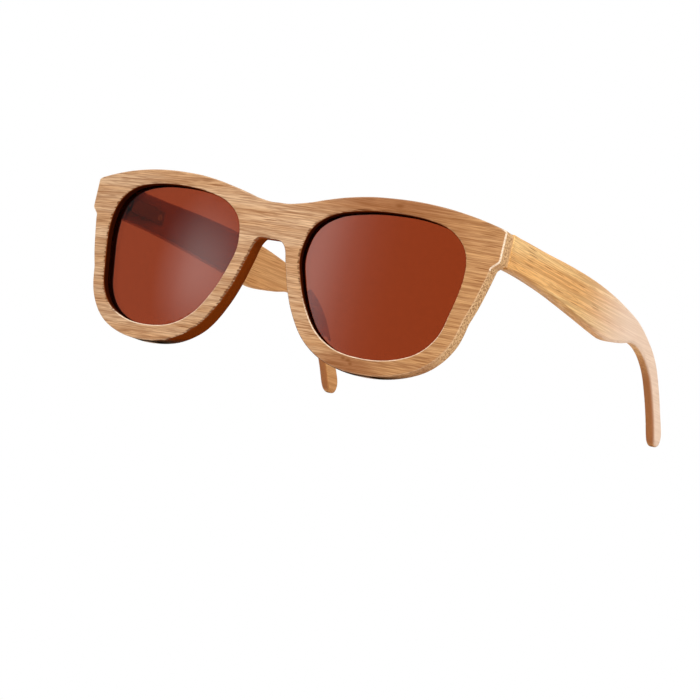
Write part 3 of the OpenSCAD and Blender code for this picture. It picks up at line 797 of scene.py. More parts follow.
def front_wood(finish, radius, face_y):
    """Bamboo of the front, with fibres from side to side, speckled cut ends, cut walls darkened partly as burnt wood
    and partly with painted shade, and a painted highlight along its edges.
    """
    material, tree, shader, coords = new_material("bamboo_front")
    grain = bent_grain(tree, coords["Object"], radius, face_y)
    bands = noise(tree, grain, (16, 160, 240), 3.0)
    patches = noise(tree, grain, (22, 40, 60))
    fine = noise(tree, grain, (120, 2600, 2600), 2.0, 0.6)
    lines = grain_lines(tree, grain, (22, 700, 900), 0.06)
    hairs = grain_lines(tree, grain, (50, 1300, 1700), 0.06)
    marks = fibre_marks(tree, grain, 34, 1150)
    dashes = fibre_marks(tree, grain, 85, 1500, 0.36, 0.3)
    ends = ranged(tree, maths(tree, "ABSOLUTE", split(tree, coords["Normal"])[0]), 0.55, 0.85)
    face = mixed(tree, ranged(tree, bands, 0.38, 0.62), finish.face_wood, finish.face_pale)
    face = mixed(tree, ranged(tree, split(tree, grain)[0], 0.004, 0.042, 0.0, 0.8), face, finish.face_gold)
    face = mixed(tree, ranged(tree, patches, 0.54, 0.76, 0.0, 0.6), face, finish.face_deep)
    # A redder stretch of the right brow and one at the foot of the right rim, with small dark specks in them
    stretches = [(0.035, 0.0515, 0.030, 0.0085), (0.0335, 0.0018, 0.0125, 0.0042)]
    dark_specks = [(0.0395, 0.0502, 0.0016, 0.0007), (0.0326, 0.0039, 0.0009, 0.0005)]
    dark_specks += [(0.0343, 0.0036, 0.001, 0.0006), (0.0352, 0.0026, 0.0008, 0.0005)]
    for ovals, strength, tint in ((stretches, 0.85, finish.face_deep), (dark_specks, 0.75, finish.face_fibre)):
        for place in ovals:
            face = mixed(tree, times(tree, oval(tree, grain, *place), strength), face, tint)
    face = mixed(tree, ranged(tree, fine, 0.62, 0.3, 0.0, 0.4), face, finish.face_fibre)
    streaks = strongest(tree, (lines, 0.6), (hairs, 0.42), (marks, 0.56), (dashes, 0.8))
    face = mixed(tree, streaks, face, finish.face_fibre)
    dots = end_dots(tree, grain, 1500)
    face = mixed(tree, ends, face, mixed(tree, times(tree, dots, 0.8), finish.end_wood, finish.end_dot))
    highlight = node(tree, "ShaderNodeAttribute", attribute_name="worn_edge").outputs["Fac"]
    # Painted highlight along the rounded edges, broken up by the fine grain
    face = mixed(tree, times(tree, highlight, ranged(tree, fine, 0.3, 0.6, 0.4, 1.0)), face, finish.edge_wood)
    # Cut walls, darkened partly as burnt wood and partly with painted shade: the fringe where they meet the face is
    # ragged, as the fibres burn unevenly
    cut = node(tree, "ShaderNodeAttribute", attribute_name="cut_wall").outputs["Fac"]
    teeth = maths(tree, "SUBTRACT", noise(tree, grain, (120, 1500, 1900), 2.0, 0.6), 0.5)
    near_edge = times(tree, ranged(tree, cut, 0.0, 0.15, 0.0, 1.3), ranged(tree, cut, 0.62, 0.4, 0.1, 1.0))
    ragged = maths(tree, "ADD", cut, times(tree, teeth, near_edge))
    for low, high, strength, tint in (
        (0.1, 0.34, 0.85, finish.burnt_edge),
        (0.4, 0.56, 0.96, finish.wall_wood),
        (0.6, 1.0, 0.96, finish.wall_dark),
    ):
        face = mixed(tree, times(tree, ranged(tree, ragged, low, high), strength), face, tint)
    feed(tree, shader, {"Specular IOR Level": ranged(tree, cut, 0.25, 0.6, 0.1, 0.0)})
    sides = maths(tree, "SUBTRACT", 1.0, ends)
    pits = strongest(tree, (streaks, sides), (dots, ends))
    wood_surface(tree, shader, face, fine, streaks, pits, 0.2, 0.4, 0.35)
    return material


def temple_wood(finish, side, turn):
    """Golden bamboo of a temple, with long fibres, paler outside at the ear bend and deeper on the hook's edge; its
    top faces carry a painted highlight, and its undersides and its inner side towards the hinge carry painted shade.
    """
    material, tree, shader, coords = new_material("bamboo_temple_" + ("right" if side > 0 else "left"))
    feed(tree, shader, {"Specular IOR Level": 0.25})
    spin = -side * turn - math.pi / 2
    grain, facing = (turned(tree, coords[name], spin) for name in ("Object", "Normal"))
    facing_x, facing_y, facing_z = split(tree, facing)
    along = split(tree, grain)[0]
    bands = noise(tree, grain, (8, 190, 260), 3.0)
    fine = noise(tree, grain, (110, 2600, 2600), 2.0, 0.6)
    lines = grain_lines(tree, grain, (9, 560, 640), 0.07)
    hairs = grain_lines(tree, grain, (40, 1300, 1500), 0.07)
    marks = fibre_marks(tree, grain, 18, 900)
    dashes = fibre_marks(tree, grain, 80, 1900, 0.42, 0.1)
    face = mixed(tree, ranged(tree, bands, 0.36, 0.64), finish.temple_deep, finish.temple_wood)
    outward = times(tree, facing_y, -side)
    # Painted highlight: upward faces tinted deeper orange; painted shade: downward faces darkened
    over, under = ranged(tree, facing_z, 0.1, 0.8), ranged(tree, facing_z, -0.1, -0.45)
    inner = ranged(tree, outward, -0.3, -0.8)
    for share, strength, tint in (
        (over, 0.6, finish.temple_deep),
        (under, 0.6, finish.temple_inner),
        (inner, 0.85, finish.temple_inner),
    ):
        face = mixed(tree, times(tree, share, strength), face, tint)
    # Painted shade on the inner side towards the hinge
    darkening = times(tree, inner, ranged(tree, along, 0.016, -0.022, 0.0, 0.75))
    face = mixed(tree, darkening, face, finish.temple_brown)
    outside = ranged(tree, outward, 0.1, 0.7, 0.08, 1.0)
    pale = times(tree, ranged(tree, along, -0.018, 0.03), outside)
    face = mixed(tree, times(tree, pale, 0.95), face, finish.temple_pale)
    calm = maths(tree, "SUBTRACT", 1.0, times(tree, pale, 0.7))
    streaks = strongest(tree, (lines, 0.55), (hairs, 0.5), (marks, 0.45), (dashes, 0.85))
    streaks = maths(tree, "MAXIMUM", streaks, ranged(tree, fine, 0.6, 0.3, 0.0, 0.35))
    face = mixed(tree, times(tree, streaks, calm), face, finish.temple_fibre)
    ahead = times(tree, facing_x, -1.0)
    hook = ranged(tree, along, 0.022, 0.046)
    butt = times(tree, ranged(tree, ahead, 0.85, 0.97), maths(tree, "SUBTRACT", 1.0, hook))
    face = mixed(tree, times(tree, butt, 0.8), face, finish.end_wood)
    hook_edge = times(tree, ranged(tree, ahead, 0.2, 0.75), hook)
    face = mixed(tree, times(tree, hook_edge, 0.88), face, finish.hook_end)
    wood_surface(tree, shader, face, fine, streaks, streaks, 0.18, 0.34, 0.3)
    return material


def lens_glass(finish):
    """Tinted lens, clear and glossy, with a trace of smears in its polish."""
    material, tree, shader, coords = new_material("tinted_lens")
    inputs = {"Base Color": finish.lens_tint, "Transmission Weight": 1.0, "IOR": 1.5}
    inputs.update({"Coat Weight": 1.0, "Coat Roughness": 0.02, "Coat IOR": 1.6})
    smear = noise(tree, coords["Object"], (60, 60, 25), 4.0)
    inputs["Roughness"] = ranged(tree, smear, 0.2, 0.8, 0.012, 0.035)
    feed(tree, shader, inputs)
    return material


def hinge_metal(name, colour, rough):
    """Brushed metal with fine scratches and a little tarnish."""
    material, tree, shader, coords = new_material(name)
    scratch = noise(tree, coords["Object"], (900, 900, 14000), 3.0, 0.6)
    tarnish = noise(tree, coords["Object"], (340, 340, 340), 3.0)
    dark = [c * 0.8 for c in colour[:3]] + [1.0]
    scratch_depth = 0.00002
    inputs = {"Base Color": mixed(tree, ranged(tree, tarnish, 0.35, 0.75), colour, dark), "Metallic": 1.0}
    inputs["Roughness"] = ranged(tree, scratch, 0.2, 0.8, rough - 0.08, rough + 0.16)
    inputs["Normal"] = bumped(tree, scratch, 0.15, scratch_depth)
    feed(tree, shader, inputs)
    return material


class SUNGLASSES_OT_front(bpy.types.Operator):
    """Build the bamboo front with its lens grooves and hinge pockets"""

    bl_idname = "sunglasses.front"
    bl_label = "Front"

    SPACING = 1.7
    EDGE_RINGS, WALL_RINGS = 6, 7
    WALL_START = 0.9
    EYE_BACK_EDGE = 0.3
    CORNER = 0.06
    WORN_DROP = 16
    SHINE, BACK_SHINE = 1.5, 0.4
    # A tone of 0 is fresh wood, 0.3 a burnt fringe, 0.6 a browned wall and 1 a dark one; the browning and the dark
    # walls are partly burnt wood and partly painted shade in the cuts
    FRESH = 0.3
    NOSE_TONES = ((1.6, 0.72), (1.2, 0.66))
    NOSE_FRINGE = (0.42, 0.07)
    EYE_FRINGE_W, EYE_FRINGE, EYE_FRINGE_OUT = 0.8, 0.08, 0.18

    def execute(self, context):
        hinge = HingePlan(context.scene)
        plan, s = hinge.front, hinge.front.s
        shell = Shell()
        thick = s["front_t"]
        outer, fade, tip = plan.whole(plan.half_loop), plan.whole(plan.half_fade), plan.whole(plan.half_tip)
        front_faces, back_faces = [], []
        ends = (front_faces, back_faces)
        edge_r = s["face_edge"] + (s["wing_edge"] - s["face_edge"]) * tip
        walls = [(0, d) for d in np.linspace(self.WALL_START, thick - self.WALL_START, self.WALL_RINGS)]
        # Painted edge highlight round the outline, strongest at the end of the wing
        highlight = 0.15 + 0.85 * tip
        # Nose walls darkened partly as burnt wood and partly with painted shade, darkest towards the front face, with
        # a darker fringe on the left side
        tones = [np.minimum(gain * fade, most) for gain, most in self.NOSE_TONES]
        left_tone, right_tone = self.NOSE_FRINGE
        fringe = (0.05 + 0.75 * fade, np.where(outer[:, 0] < 0, left_tone, right_tone) * fade)
        self.wall(shell, plan, outer, edge_r, s["back_edge"], walls, fade, tones, highlight, fringe, ends)
        groove = self.groove(s, hinge.s["fit_clear"])
        for side in SIDES.values():
            loop = plan.lens_loop * (side, 1)
            loop = loop if side > 0 else loop[::-1]
            none, whole = np.zeros(len(loop)), np.ones(len(loop))
            facing = right_of(loop)[:, 0]
            # Painted edge highlight, pale low down, but not on the outer side of the left opening
            highlight_side = 1 if side > 0 else smoothstep(1.3 + 1.6 * facing)
            highlight = 0.1 + 0.85 * smoothstep(-loop[:, 1] / self.WORN_DROP) * highlight_side
            edge_r = s["eye_edge"] * whole
            # Fringe darker on the left side of each opening, partly painted shade
            fringe = (self.EYE_FRINGE_W, self.EYE_FRINGE + self.EYE_FRINGE_OUT * smoothstep(0.5 - facing))
            # Lens-opening walls dark all through: painted shade in the openings
            tones = (whole, whole)
            self.wall(shell, plan, loop, edge_r, self.EYE_BACK_EDGE, groove, none, tones, highlight, fringe, ends)
        for side in SIDES.values():
            flat, rim, floor = hinge.leaf_pocket(side)
            numbers, lower = shell.add(rim), shell.add(floor)
            shell.bridge(numbers, lower)
            shell.faces.append(tuple(lower))
            back_faces.append((flat, numbers))
        for faces, depth in ((front_faces, 0), (back_faces, thick)):
            loops, numbers = zip(*faces)
            shell.fill(loops, numbers, lambda flat: plan.place(flat, depth), self.SPACING)
        wood = front_wood(context.scene.sunglasses_finish, s["face_r"] * MM, hinge.base[1] * MM)
        piece = shell.piece("front", wood, hinge.on_side(1))
        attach(piece, "front")
        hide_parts("front_frame")
        return {"FINISHED"}

    def groove(self, s, clear):
        """Steps of a lens opening's wall, as inset and depth, with a close ring on each side of a corner."""
        low, high, deep = s["lens_recess"], s["lens_recess"] + s["lens_t"] + 2 * clear, s["groove_d"]
        near = self.CORNER
        steps = [(0, self.WALL_START), (0, low - near), (0, low), (near, low), (deep - near, low), (deep, low)]
        steps += [(deep, low + near), (deep, high - near), (deep, high), (deep - near, high), (near, high)]
        return steps + [(0, high), (0, high + near)]

    def wall(self, shell, plan, loop, front_r, back_r, steps, fade, tones, highlight, fringe, ends):
        """Wall round one outline: browned fringe, rounded front edge, steps, and rounded back edge; the browning is
        partly painted shade, and the rounded edges carry the painted highlight.
        """
        thick, count = plan.s["front_t"], len(loop)
        into = right_of(loop)
        fringe_w, fringe_tone = fringe
        rings = [(front_r + fringe_w, 0, 0.0, 0.0)]
        for turn in np.linspace(0, math.pi / 2, self.EDGE_RINGS):
            # Darkening over the rounded front edge, partly burnt wood and partly painted shade
            darkening = max(0, math.sin(turn) - self.FRESH) / (1 - self.FRESH)
            tone = np.maximum(darkening * tones[0], fringe_tone) * (1 - highlight)
            # Painted edge highlight, strongest halfway round the rounding
            shine = min(1, self.SHINE * math.sin(2 * turn))
            rings.append((front_r * (1 - math.sin(turn)), front_r * (1 - math.cos(turn)), tone, shine))
        for inset, depth in steps:
            rings.append((inset, depth, tones[0] + (tones[1] - tones[0]) * depth / thick, 0.0))
        for turn in np.linspace(math.pi / 2, 0, self.EDGE_RINGS):
            depth, tone = thick - back_r * (1 - math.cos(turn)), math.sin(turn) * tones[1]
            rings.append((back_r * (1 - math.sin(turn)), depth, tone, self.BACK_SHINE * math.sin(2 * turn)))
        laid = []
        for inset, depth, tone, shine in rings:
            depth = np.broadcast_to(depth, count)
            flat = loop + into * (np.broadcast_to(inset, count) + plan.flare(loop, fade, depth))[:, None]
            laid.append((flat, shell.add(plan.place(flat, depth), tone, shine * highlight)))
        shell.sleeve([ring for _, ring in laid])
        ends[0].append(laid[0])
        ends[1].append(laid[-1])


class SUNGLASSES_OT_lenses(bpy.types.Operator):
    """Build the two tinted lenses, curved with the front"""

    bl_idname = "sunglasses.lenses"
    bl_label = "Lenses"

    SPACING = 1.8
    BEVEL, BEVEL_MIDDLE = 0.2, 0.06

    def execute(self, context):
        hinge = HingePlan(context.scene)
        plan, s = hinge.front, hinge.front.s
        glass = lens_glass(context.scene.sunglasses_finish)
        start, thick = s["lens_recess"] + hinge.s["fit_clear"], s["lens_t"]
        loop = plan.lens_loop + right_of(plan.lens_loop) * (s["groove_d"] - s["lens_clear"])
        into = -right_of(loop)
        bevel, middle = self.BEVEL, self.BEVEL_MIDDLE
        rings = [(bevel, 0), (middle, middle), (0, bevel)]
        rings += [(0, thick - bevel), (middle, thick - middle), (bevel, thick)]
        for name, side in SIDES.items():
            shell = Shell()
            laid = []
            for inset, depth in rings:
                flat = loop + into * inset
                laid.append((flat, shell.add(plan.place(flat, start + depth))))
            shell.sleeve([ring for _, ring in laid])
            for (flat, ring), depth in ((laid[0], start), (laid[-1], start + thick)):
                shell.fill([flat], [ring], lambda points: plan.place(points, depth), self.SPACING)
            piece = shell.piece(name + "_tinted_lens", glass, hinge.on_side(side))
            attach(piece, "front")
            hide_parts(name + "_lens")
        return {"FINISHED"}


class SUNGLASSES_OT_temples(bpy.types.Operator):
    """Build the two bamboo temples with rounded edges and the pockets for their spring cases"""

    bl_idname = "sunglasses.temples"
    bl_label = "Temples"

    SPACING = 2.5
    EDGE_STEPS, END_STEPS, POCKET_STEPS = 8, 13, 8
    INNER_RINGS, OUTER_RINGS = 7, 9
    ROUND_RUN, LEAN_RUN = 6, 4
    INNER_SHARE = 0.7

    def execute(self, context):
        hinge = HingePlan(context.scene)
        t, h = hinge.t, hinge.s
        row = temple_outline(t, self.EDGE_STEPS)
        front_edge = np.linspace(row[-1], row[0], self.END_STEPS + 1)[1:-1]
        loop = np.concatenate([row, front_edge])
        into = -right_of(loop)
        ahead = smoothstep(loop[:, 0] / self.ROUND_RUN)
        outer_r = t["end_edge"] + (t["edge_r"] - t["end_edge"]) * ahead
        inner_r = t["end_edge"] + (self.INNER_SHARE * t["edge_r"] - t["end_edge"]) * ahead
        clear = h["fit_clear"]
        y0, y1 = hinge.CASE_Y - clear - hinge.butt_y, hinge.case_end + h["foot_l"] + clear - hinge.butt_y
        pocket = rectangle(y0, y1, h["case_h"] / 2 + clear, self.POCKET_STEPS)
        pocket_floor = hinge.case_x + h["case_t"] + clear

        def inner_x(a):
            return hinge.TEMPLE_OUT - (t["temple_t"] + (t["tip_t"] - t["temple_t"]) * a / t["temple_l"])

        def place(flat, x):
            x = np.broadcast_to(x, len(flat))
            near_end = np.clip(1 - flat[:, 0] / self.LEAN_RUN, 0, 1)
            lean = (x - hinge.TEMPLE_OUT) * math.tan(hinge.butt_tilt) * near_end
            local = np.stack([x, hinge.butt_y + flat[:, 0] + lean, flat[:, 1]], axis=1)
            return hinge.at_pin(local, t["temple_turn"])

        for name, side in SIDES.items():
            shell = Shell()
            laid = []
            for turn in np.linspace(0, math.pi / 2, self.INNER_RINGS):
                flat = loop + into * (inner_r * (1 - math.sin(turn)))[:, None]
                ring = shell.add(place(flat, inner_x(flat[:, 0]) + inner_r * (1 - math.cos(turn))))
                laid.append((flat, ring))
            for turn in np.linspace(math.pi / 2, 0, self.OUTER_RINGS):
                flat = loop + into * (outer_r * (1 - math.sin(turn)))[:, None]
                ring = shell.add(place(flat, hinge.TEMPLE_OUT - outer_r * (1 - math.cos(turn))))
                laid.append((flat, ring))
            shell.sleeve([ring for _, ring in laid])
            rim = shell.add(place(pocket, inner_x(pocket[:, 0])))
            floor = shell.add(place(pocket, pocket_floor))
            shell.bridge(rim, floor)
            shell.faces.append(tuple(floor))
            (inner_flat, inner_ring), (outer_flat, outer_ring) = laid[0], laid[-1]
            shell.fill([inner_flat, pocket], [inner_ring, rim], lambda f: place(f, inner_x(f[:, 0])), self.SPACING)
            shell.fill([outer_flat], [outer_ring], lambda f: place(f, hinge.TEMPLE_OUT), self.SPACING)
            wood = temple_wood(context.scene.sunglasses_finish, side, t["temple_turn"])
            piece = shell.piece(name + "_temple_wood", wood, hinge.on_side(side))
            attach(piece, name + "_temple_body")
            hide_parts(name + "_temple")
        return {"FINISHED"}


class SUNGLASSES_OT_springs(bpy.types.Operator):
    """Wind the two springs that pull the temples in"""

    bl_idname = "sunglasses.springs"
    bl_label = "Springs"

    CURL_STEPS = 28
    WIRE_SIDES = 10
    ROUGH = 0.24

    def execute(self, context):
        hinge = HingePlan(context.scene)
        h, turn = hinge.s, hinge.t["temple_turn"]
        steel = hinge_metal("spring_steel", context.scene.sunglasses_finish.steel, self.ROUGH)
        start = hinge.CASE_Y + hinge.CASE_WALL
        run = hinge.stop_y - start - 2 * h["wire_d"]
        count = h["spring_curls"] * self.CURL_STEPS
        around = np.linspace(0, 2 * math.pi, self.WIRE_SIDES + 1)[:-1, None]
        for name, side in SIDES.items():
            shell = Shell()
            rings = []
            for i in range(count + 1):
                wind = 2 * math.pi * h["spring_curls"] * i / count
                out = np.array([math.cos(wind), 0, math.sin(wind)])
                middle = np.array([hinge.ROD_X, start + h["wire_d"] + run * i / count, 0]) + hinge.coil_d / 2 * out
                ring = middle + h["wire_d"] / 2 * (np.cos(around) * out + np.sin(around) * (0, 1, 0))
                rings.append(shell.add(hinge.at_pin(ring, turn)))
            shell.faces.append(tuple(rings[0]))
            shell.sleeve(rings)
            shell.faces.append(tuple(rings[-1]))
            piece = shell.piece(name + "_wound_spring", steel, hinge.on_side(side))
            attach(piece, name + "_temple_body")
            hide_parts(name + "_spring")
            anchor = hinge.on_side(side)(hinge.at_pin([(hinge.ROD_X, start, 0)], turn))[0] * MM
            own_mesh(piece)
        return {"FINISHED"}


class SUNGLASSES_OT_hinges(bpy.types.Operator):
    """Finish the hinge metal with broken edges, slotted screws and a brushed surface"""

    bl_idname = "sunglasses.hinges"
    bl_label = "Hinges"

    PLATED_ROUGH, STEEL_ROUGH = 0.32, 0.28
    SCREW_EDGE = 0.5
    SLOT_REACH = 0.7
    FLAT, SHARP = math.radians(1), math.radians(32)

    def execute(self, context):
        hinge = HingePlan(context.scene)
        finish = context.scene.sunglasses_finish
        plated = hinge_metal("bronze_plating", finish.plating, self.PLATED_ROUGH)
        steel = hinge_metal("screw_steel", finish.steel, self.STEEL_ROUGH)
        for name, solid in frame["nodes"].items():
            if solid.hide_render:
                continue
            mesh = solid.data.copy()
            mesh.materials.clear()
            side = SIDES[name.split("_")[0]]
            if name.endswith(("leaf_screws", "case_screws")):
                mesh = self.slotted(mesh, [hinge.on_side(side)(box) for box in self.slots(hinge, name)])
            self.break_edges(name, mesh, hinge.s["broken_edge"] * (self.SCREW_EDGE if "screw" in name else 1))
            piece = finished(name + "_metal", mesh, steel if "screw" in name else plated)
            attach(piece, body_of(solid)[0])
            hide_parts(name)
        return {"FINISHED"}

    def slots(self, hinge, name):
        """Boxes of the slots in the heads of two fixing screws on the right side."""
        h = hinge.s
        x_way, y_way, z_way = np.eye(3)
        boxes = []
        for number, turn in enumerate(hinge.SLOT_TURNS):
            if "leaf" in name:
                x, y = (hinge.FIN_OUT + hinge.LEAF_OUT) / 2, h["leaf_t"] - hinge.PIN_TO_SEAT
                middle = np.array([x, y, hinge.LEAF_SCREWS[number] * hinge.leaf_h])
                out, flat, frame_turn = y_way, x_way, hinge.LEAF_TURN
            else:
                middle = np.array([hinge.foot_x, hinge.case_end + hinge.FOOT_SCREWS[number] * h["foot_l"], 0])
                out, flat, frame_turn = -x_way, y_way, hinge.t["temple_turn"]
            along = math.cos(turn) * flat + math.sin(turn) * z_way
            reach = self.SLOT_REACH * h["fixing_head_d"] * along
            half = h["slot_w"] / 2 * np.cross(out, along)
            deep = h["slot_deep"] * out
            box = [middle + a * reach + b * half + c * deep for c in (-1, 1) for b in (-1, 1) for a in (-1, 1)]
            boxes.append(hinge.at_pin(box, frame_turn))
        return boxes

    def slotted(self, mesh, boxes):
        """Mesh of screws with the boxes cut out of their heads."""
        cutter = bpy.data.meshes.new("slots")
        sides = [(0, 1, 3, 2), (4, 6, 7, 5), (0, 4, 5, 1), (2, 3, 7, 6), (0, 2, 6, 4), (1, 5, 7, 3)]
        faces = [[corner + 8 * i for corner in quad] for i in range(len(boxes)) for quad in sides]
        cutter.from_pydata((np.concatenate(boxes) * MM).tolist(), [], faces)
        for solid in (mesh, cutter):
            with opened(solid) as body:
                bmesh.ops.remove_doubles(body, verts=body.verts, dist=WELD)
                bmesh.ops.recalc_face_normals(body, faces=body.faces)
        screws, slots = bpy.data.objects.new("screws", mesh), bpy.data.objects.new("slots", cutter)
        for item in (screws, slots):
            bpy.context.scene.collection.objects.link(item)
        cut = screws.modifiers.new("slots", "BOOLEAN")
        cut.operation, cut.solver, cut.object = "DIFFERENCE", "EXACT", slots
        result = bpy.data.meshes.new_from_object(screws.evaluated_get(bpy.context.evaluated_depsgraph_get()))
        for item in (screws, slots):
            bpy.data.objects.remove(item)
        return result

    def break_edges(self, name, mesh, width):
        """Joins the facets of flat faces and bevels the sharp edges of a metal part."""
        with opened(mesh) as body:
            bmesh.ops.remove_doubles(body, verts=body.verts, dist=WELD)
            bmesh.ops.dissolve_limit(body, angle_limit=self.FLAT, verts=body.verts, edges=body.edges)
            sharp = [edge for edge in body.edges if edge.calc_face_angle(0) > self.SHARP]
            bmesh.ops.bevel(
                body, geom=sharp, offset=width * MM, segments=2, profile=0.5, affect="EDGES", clamp_overlap=True
            )
            bmesh.ops.recalc_face_normals(body, faces=body.faces)
            check_closed(name, body)


class SUNGLASSES_OT_stage(bpy.types.Operator):
    """Set the floor, the light and the camera"""

    bl_idname = "sunglasses.stage"
    bl_label = "Stage"

    # Camera: angles in degrees, and its place beside, above and before the bridge in millimetres
    AZIMUTH, ELEVATION, ROLL = 32, -6.371, 12.954
    BRIDGE = (0, -75.57, 38.8)
    ASIDE, ABOVE, BEFORE = 22.44, -36.17, 950
    SENSOR, FOCAL_SHARE = 36, 3237.6 / 700
    # Floor and lamps, in metres
    FLOOR_REACH, FLOOR_GAP = 2.0, 0.0002
    LAMP_AIM = Vector((0, -0.03, 0.03))
    SKY = 0.62
    # Gloss: level of the studio by angle from the front in degrees, and the glow's height and reach
    GLOSS = (
        (-180, 1), (-95, 1), (-68, 0.1), (-54, 0.03), (-52, 0.05), (-50, 0.24), (-48, 0.48), (-46, 0.88), (-44, 1),
        (-42.4, 0.96), (-40, 0.7), (-37.5, 0.42), (-29, 1), (-26.5, 0.88), (-23.6, 0.44), (-20.8, 0.18),
        (-17.5, 0.05), (-12, 0.01), (0, 0), (40, 0.1), (90, 1), (180, 1),
    )
    GLOW_UP, GLOW_REACH = 0.1245, 0.0255

    def execute(self, context):
        scene = context.scene
        scene.view_settings.view_transform = "Standard"
        self.camera(scene)
        self.floor(scene)
        self.light(scene)
        self.world(scene)
        return {"FINISHED"}

    def camera(self, scene):
        """Camera low in front of the right lens, leaning with the glasses."""
        azimuth, elevation, roll = (math.radians(a) for a in (self.AZIMUTH, self.ELEVATION, self.ROLL))
        level = Vector((math.cos(azimuth), math.sin(azimuth), 0))
        flat = math.cos(elevation)
        back = Vector((math.sin(azimuth) * flat, -math.cos(azimuth) * flat, math.sin(elevation)))
        up = back.cross(level)
        right = math.cos(roll) * level + math.sin(roll) * up
        upright = math.cos(roll) * up - math.sin(roll) * level
        at = (Vector(self.BRIDGE) + self.ASIDE * right + self.ABOVE * upright + self.BEFORE * back) * MM
        data = bpy.data.cameras.new("camera")
        data.sensor_width = self.SENSOR
        data.sensor_fit = "HORIZONTAL"
        data.lens = self.FOCAL_SHARE * self.SENSOR
        camera = bpy.data.objects.new("camera", data)
        camera.matrix_world = Matrix.Translation(at) @ Matrix((right, upright, back)).transposed().to_4x4()
        scene.collection.objects.link(camera)
        scene.camera = camera

    def floor(self, scene):
        """Floor under the rims and the ear hooks, open from below so that a low camera sees the glasses."""
        (rim_z, rim_y), (hook_z, hook_y) = (
            min((v.co.z, v.co.y) for v in frame["nodes"][name].data.vertices)
            for name in ("front_frame", "right_temple")
        )
        slope = (hook_z - rim_z) / (hook_y - rim_y)
        reach = self.FLOOR_REACH
        corners = [
            (x, y, rim_z + slope * (y - rim_y) - self.FLOOR_GAP)
            for x, y in ((-reach, -reach), (reach, -reach), (reach, reach), (-reach, reach))
        ]
        mesh = bpy.data.meshes.new("floor")
        mesh.from_pydata(corners, [], [(0, 1, 2, 3)])
        material, tree, shader, coords = new_material("floor_paper")
        speckle = noise(tree, coords["Object"], (900, 900, 900))
        pale = scene.sunglasses_finish.floor
        dim = [c * 0.97 for c in pale[:3]] + [1.0]
        inputs = {"Base Color": mixed(tree, speckle, dim, pale), "Roughness": 0.9, "Specular IOR Level": 0.1}
        feed(tree, shader, inputs)
        clear = node(tree, "ShaderNodeBsdfTransparent")
        under = node(tree, "ShaderNodeNewGeometry").outputs["Backfacing"]
        mix = node(tree, "ShaderNodeMixShader", {0: under, 1: shader.outputs[0], 2: clear.outputs[0]})
        feed(tree, tree.nodes["Material Output"], {"Surface": mix.outputs[0]})
        mesh.materials.append(material)
        floor = bpy.data.objects.new("floor", mesh)
        scene.collection.objects.link(floor)

    def light(self, scene):
        """Soft key lamp from the front right and a weak fill from the left."""
        for name, at, size, power, mirrored in (
            ("key", (0.55, -0.75, 0.85), 0.6, 9.0, True),
            ("fill", (-0.95, -0.35, 0.95), 0.8, 3.6, False),
        ):
            data = bpy.data.lights.new(name, "AREA")
            data.shape = "DISK"
            data.size = size
            data.energy = power
            lamp = bpy.data.objects.new(name, data)
            lamp.location = at
            lamp.rotation_euler = (self.LAMP_AIM - Vector(at)).to_track_quat("-Z", "Y").to_euler()
            lamp.visible_glossy = mirrored
            scene.collection.objects.link(lamp)

    def world(self, scene):
        """White for the camera and through the lenses, the studio for gloss, and a softer sky for the light."""
        world = bpy.data.worlds.new("studio")
        world.use_nodes = True
        tree = world.node_tree
        tree.nodes.clear()
        rays = node(tree, "ShaderNodeLightPath").outputs
        seen = maths(tree, "MAXIMUM", rays["Is Camera Ray"], rays["Is Transmission Ray"])
        sky, white, studio = (
            node(tree, "ShaderNodeBackground", {"Color": tint, "Strength": strength}).outputs[0]
            for tint, strength in (((1, 1, 1, 1), self.SKY), ((1, 1, 1, 1), 1.0), (self.gloss(tree), 1.0))
        )
        mix = node(tree, "ShaderNodeMixShader", {0: rays["Is Glossy Ray"], 1: sky, 2: studio})
        mix = node(tree, "ShaderNodeMixShader", {0: seen, 1: mix.outputs[0], 2: white})
        node(tree, "ShaderNodeOutputWorld", {"Surface": mix.outputs[0]})
        scene.world = world

    def gloss(self, tree):
        """Studio as gloss shows it: white behind the glasses, dim before them, with two bright places on the left."""
        x, y, z = split(tree, node(tree, "ShaderNodeTexCoord").outputs["Generated"])
        swing = maths(tree, "DIVIDE", maths(tree, "ARCTAN2", x, times(tree, y, -1.0)), math.pi)
        ramp = node(tree, "ShaderNodeValToRGB", {0: maths(tree, "ADD", times(tree, swing, 0.5), 0.5)})
        ramp.color_ramp.interpolation = "CARDINAL"
        while len(ramp.color_ramp.elements) < len(self.GLOSS):
            ramp.color_ramp.elements.new(0.5)
        for element, (degrees, level) in zip(ramp.color_ramp.elements, self.GLOSS):
            element.position = 0.5 + degrees / 360
            element.color = (level, level, level, 1)

        def swung(low, high, out_low=0.0, out_high=1.0):
            return ranged(tree, swing, low / 180, high / 180, out_low, out_high)

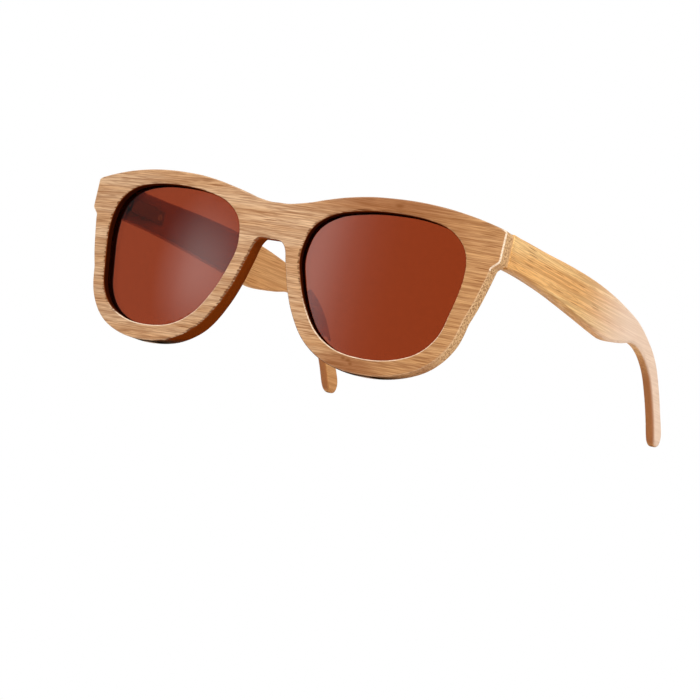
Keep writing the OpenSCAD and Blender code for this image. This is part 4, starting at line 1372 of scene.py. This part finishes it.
        # The place further to the left is round: it fades above and below its middle, down to a dim rest
        aside = maths(tree, "ABSOLUTE", maths(tree, "SUBTRACT", z, self.GLOW_UP))
        level = maths(tree, "MAXIMUM", ranged(tree, aside, 0.0, self.GLOW_REACH, 1.0, 0.15), swung(-36, -31))
        level = maths(tree, "MAXIMUM", level, swung(-58, -70))
        glow = times(tree, red_of(tree, ramp.outputs[0]), level)
        return maths(tree, "MAXIMUM", glow, swung(-30, -36, 0.0, 0.09))


class SUNGLASSES_PT_panel(bpy.types.Panel):
    """Sizes, finishes and build steps of the sunglasses"""

    bl_idname = "SUNGLASSES_PT_panel"
    bl_label = "Wooden Sunglasses"
    bl_space_type = "VIEW_3D"
    bl_region_type = "UI"
    bl_category = "Sunglasses"

    def draw(self, context):
        for operator in OPERATORS:
            self.layout.operator(operator.bl_idname)
        for slot, (title, group) in GROUPS.items():
            box = self.layout.box()
            box.label(text=title)
            for name in group.__annotations__:
                box.prop(getattr(context.scene, slot), name)


GROUPS = {
    "sunglasses_front": ("Front", FrontSizes),
    "sunglasses_temple": ("Temples", TempleSizes),
    "sunglasses_hinge": ("Hinges", HingeSizes),
    "sunglasses_finish": ("Finishes", Finishes),
}
OPERATORS = (
    SUNGLASSES_OT_front,
    SUNGLASSES_OT_lenses,
    SUNGLASSES_OT_temples,
    SUNGLASSES_OT_springs,
    SUNGLASSES_OT_hinges,
    SUNGLASSES_OT_stage,
)
CLASSES = (*(group for _, group in GROUPS.values()), *OPERATORS, SUNGLASSES_PT_panel)


def register():
    for cls in CLASSES:
        bpy.utils.register_class(cls)
    for slot, (_, group) in GROUPS.items():
        setattr(bpy.types.Scene, slot, PointerProperty(type=group))


def unregister():
    for slot in GROUPS:
        delattr(bpy.types.Scene, slot)
    for cls in reversed(CLASSES):
        bpy.utils.unregister_class(cls)


def main():
    """Builds the sunglasses on the frame."""
    register()
    bpy.ops.sunglasses.front()
    bpy.ops.sunglasses.lenses()
    bpy.ops.sunglasses.temples()
    bpy.ops.sunglasses.springs()
    bpy.ops.sunglasses.hinges()
    bpy.ops.sunglasses.stage()


if __name__ == "__main__":
    main()
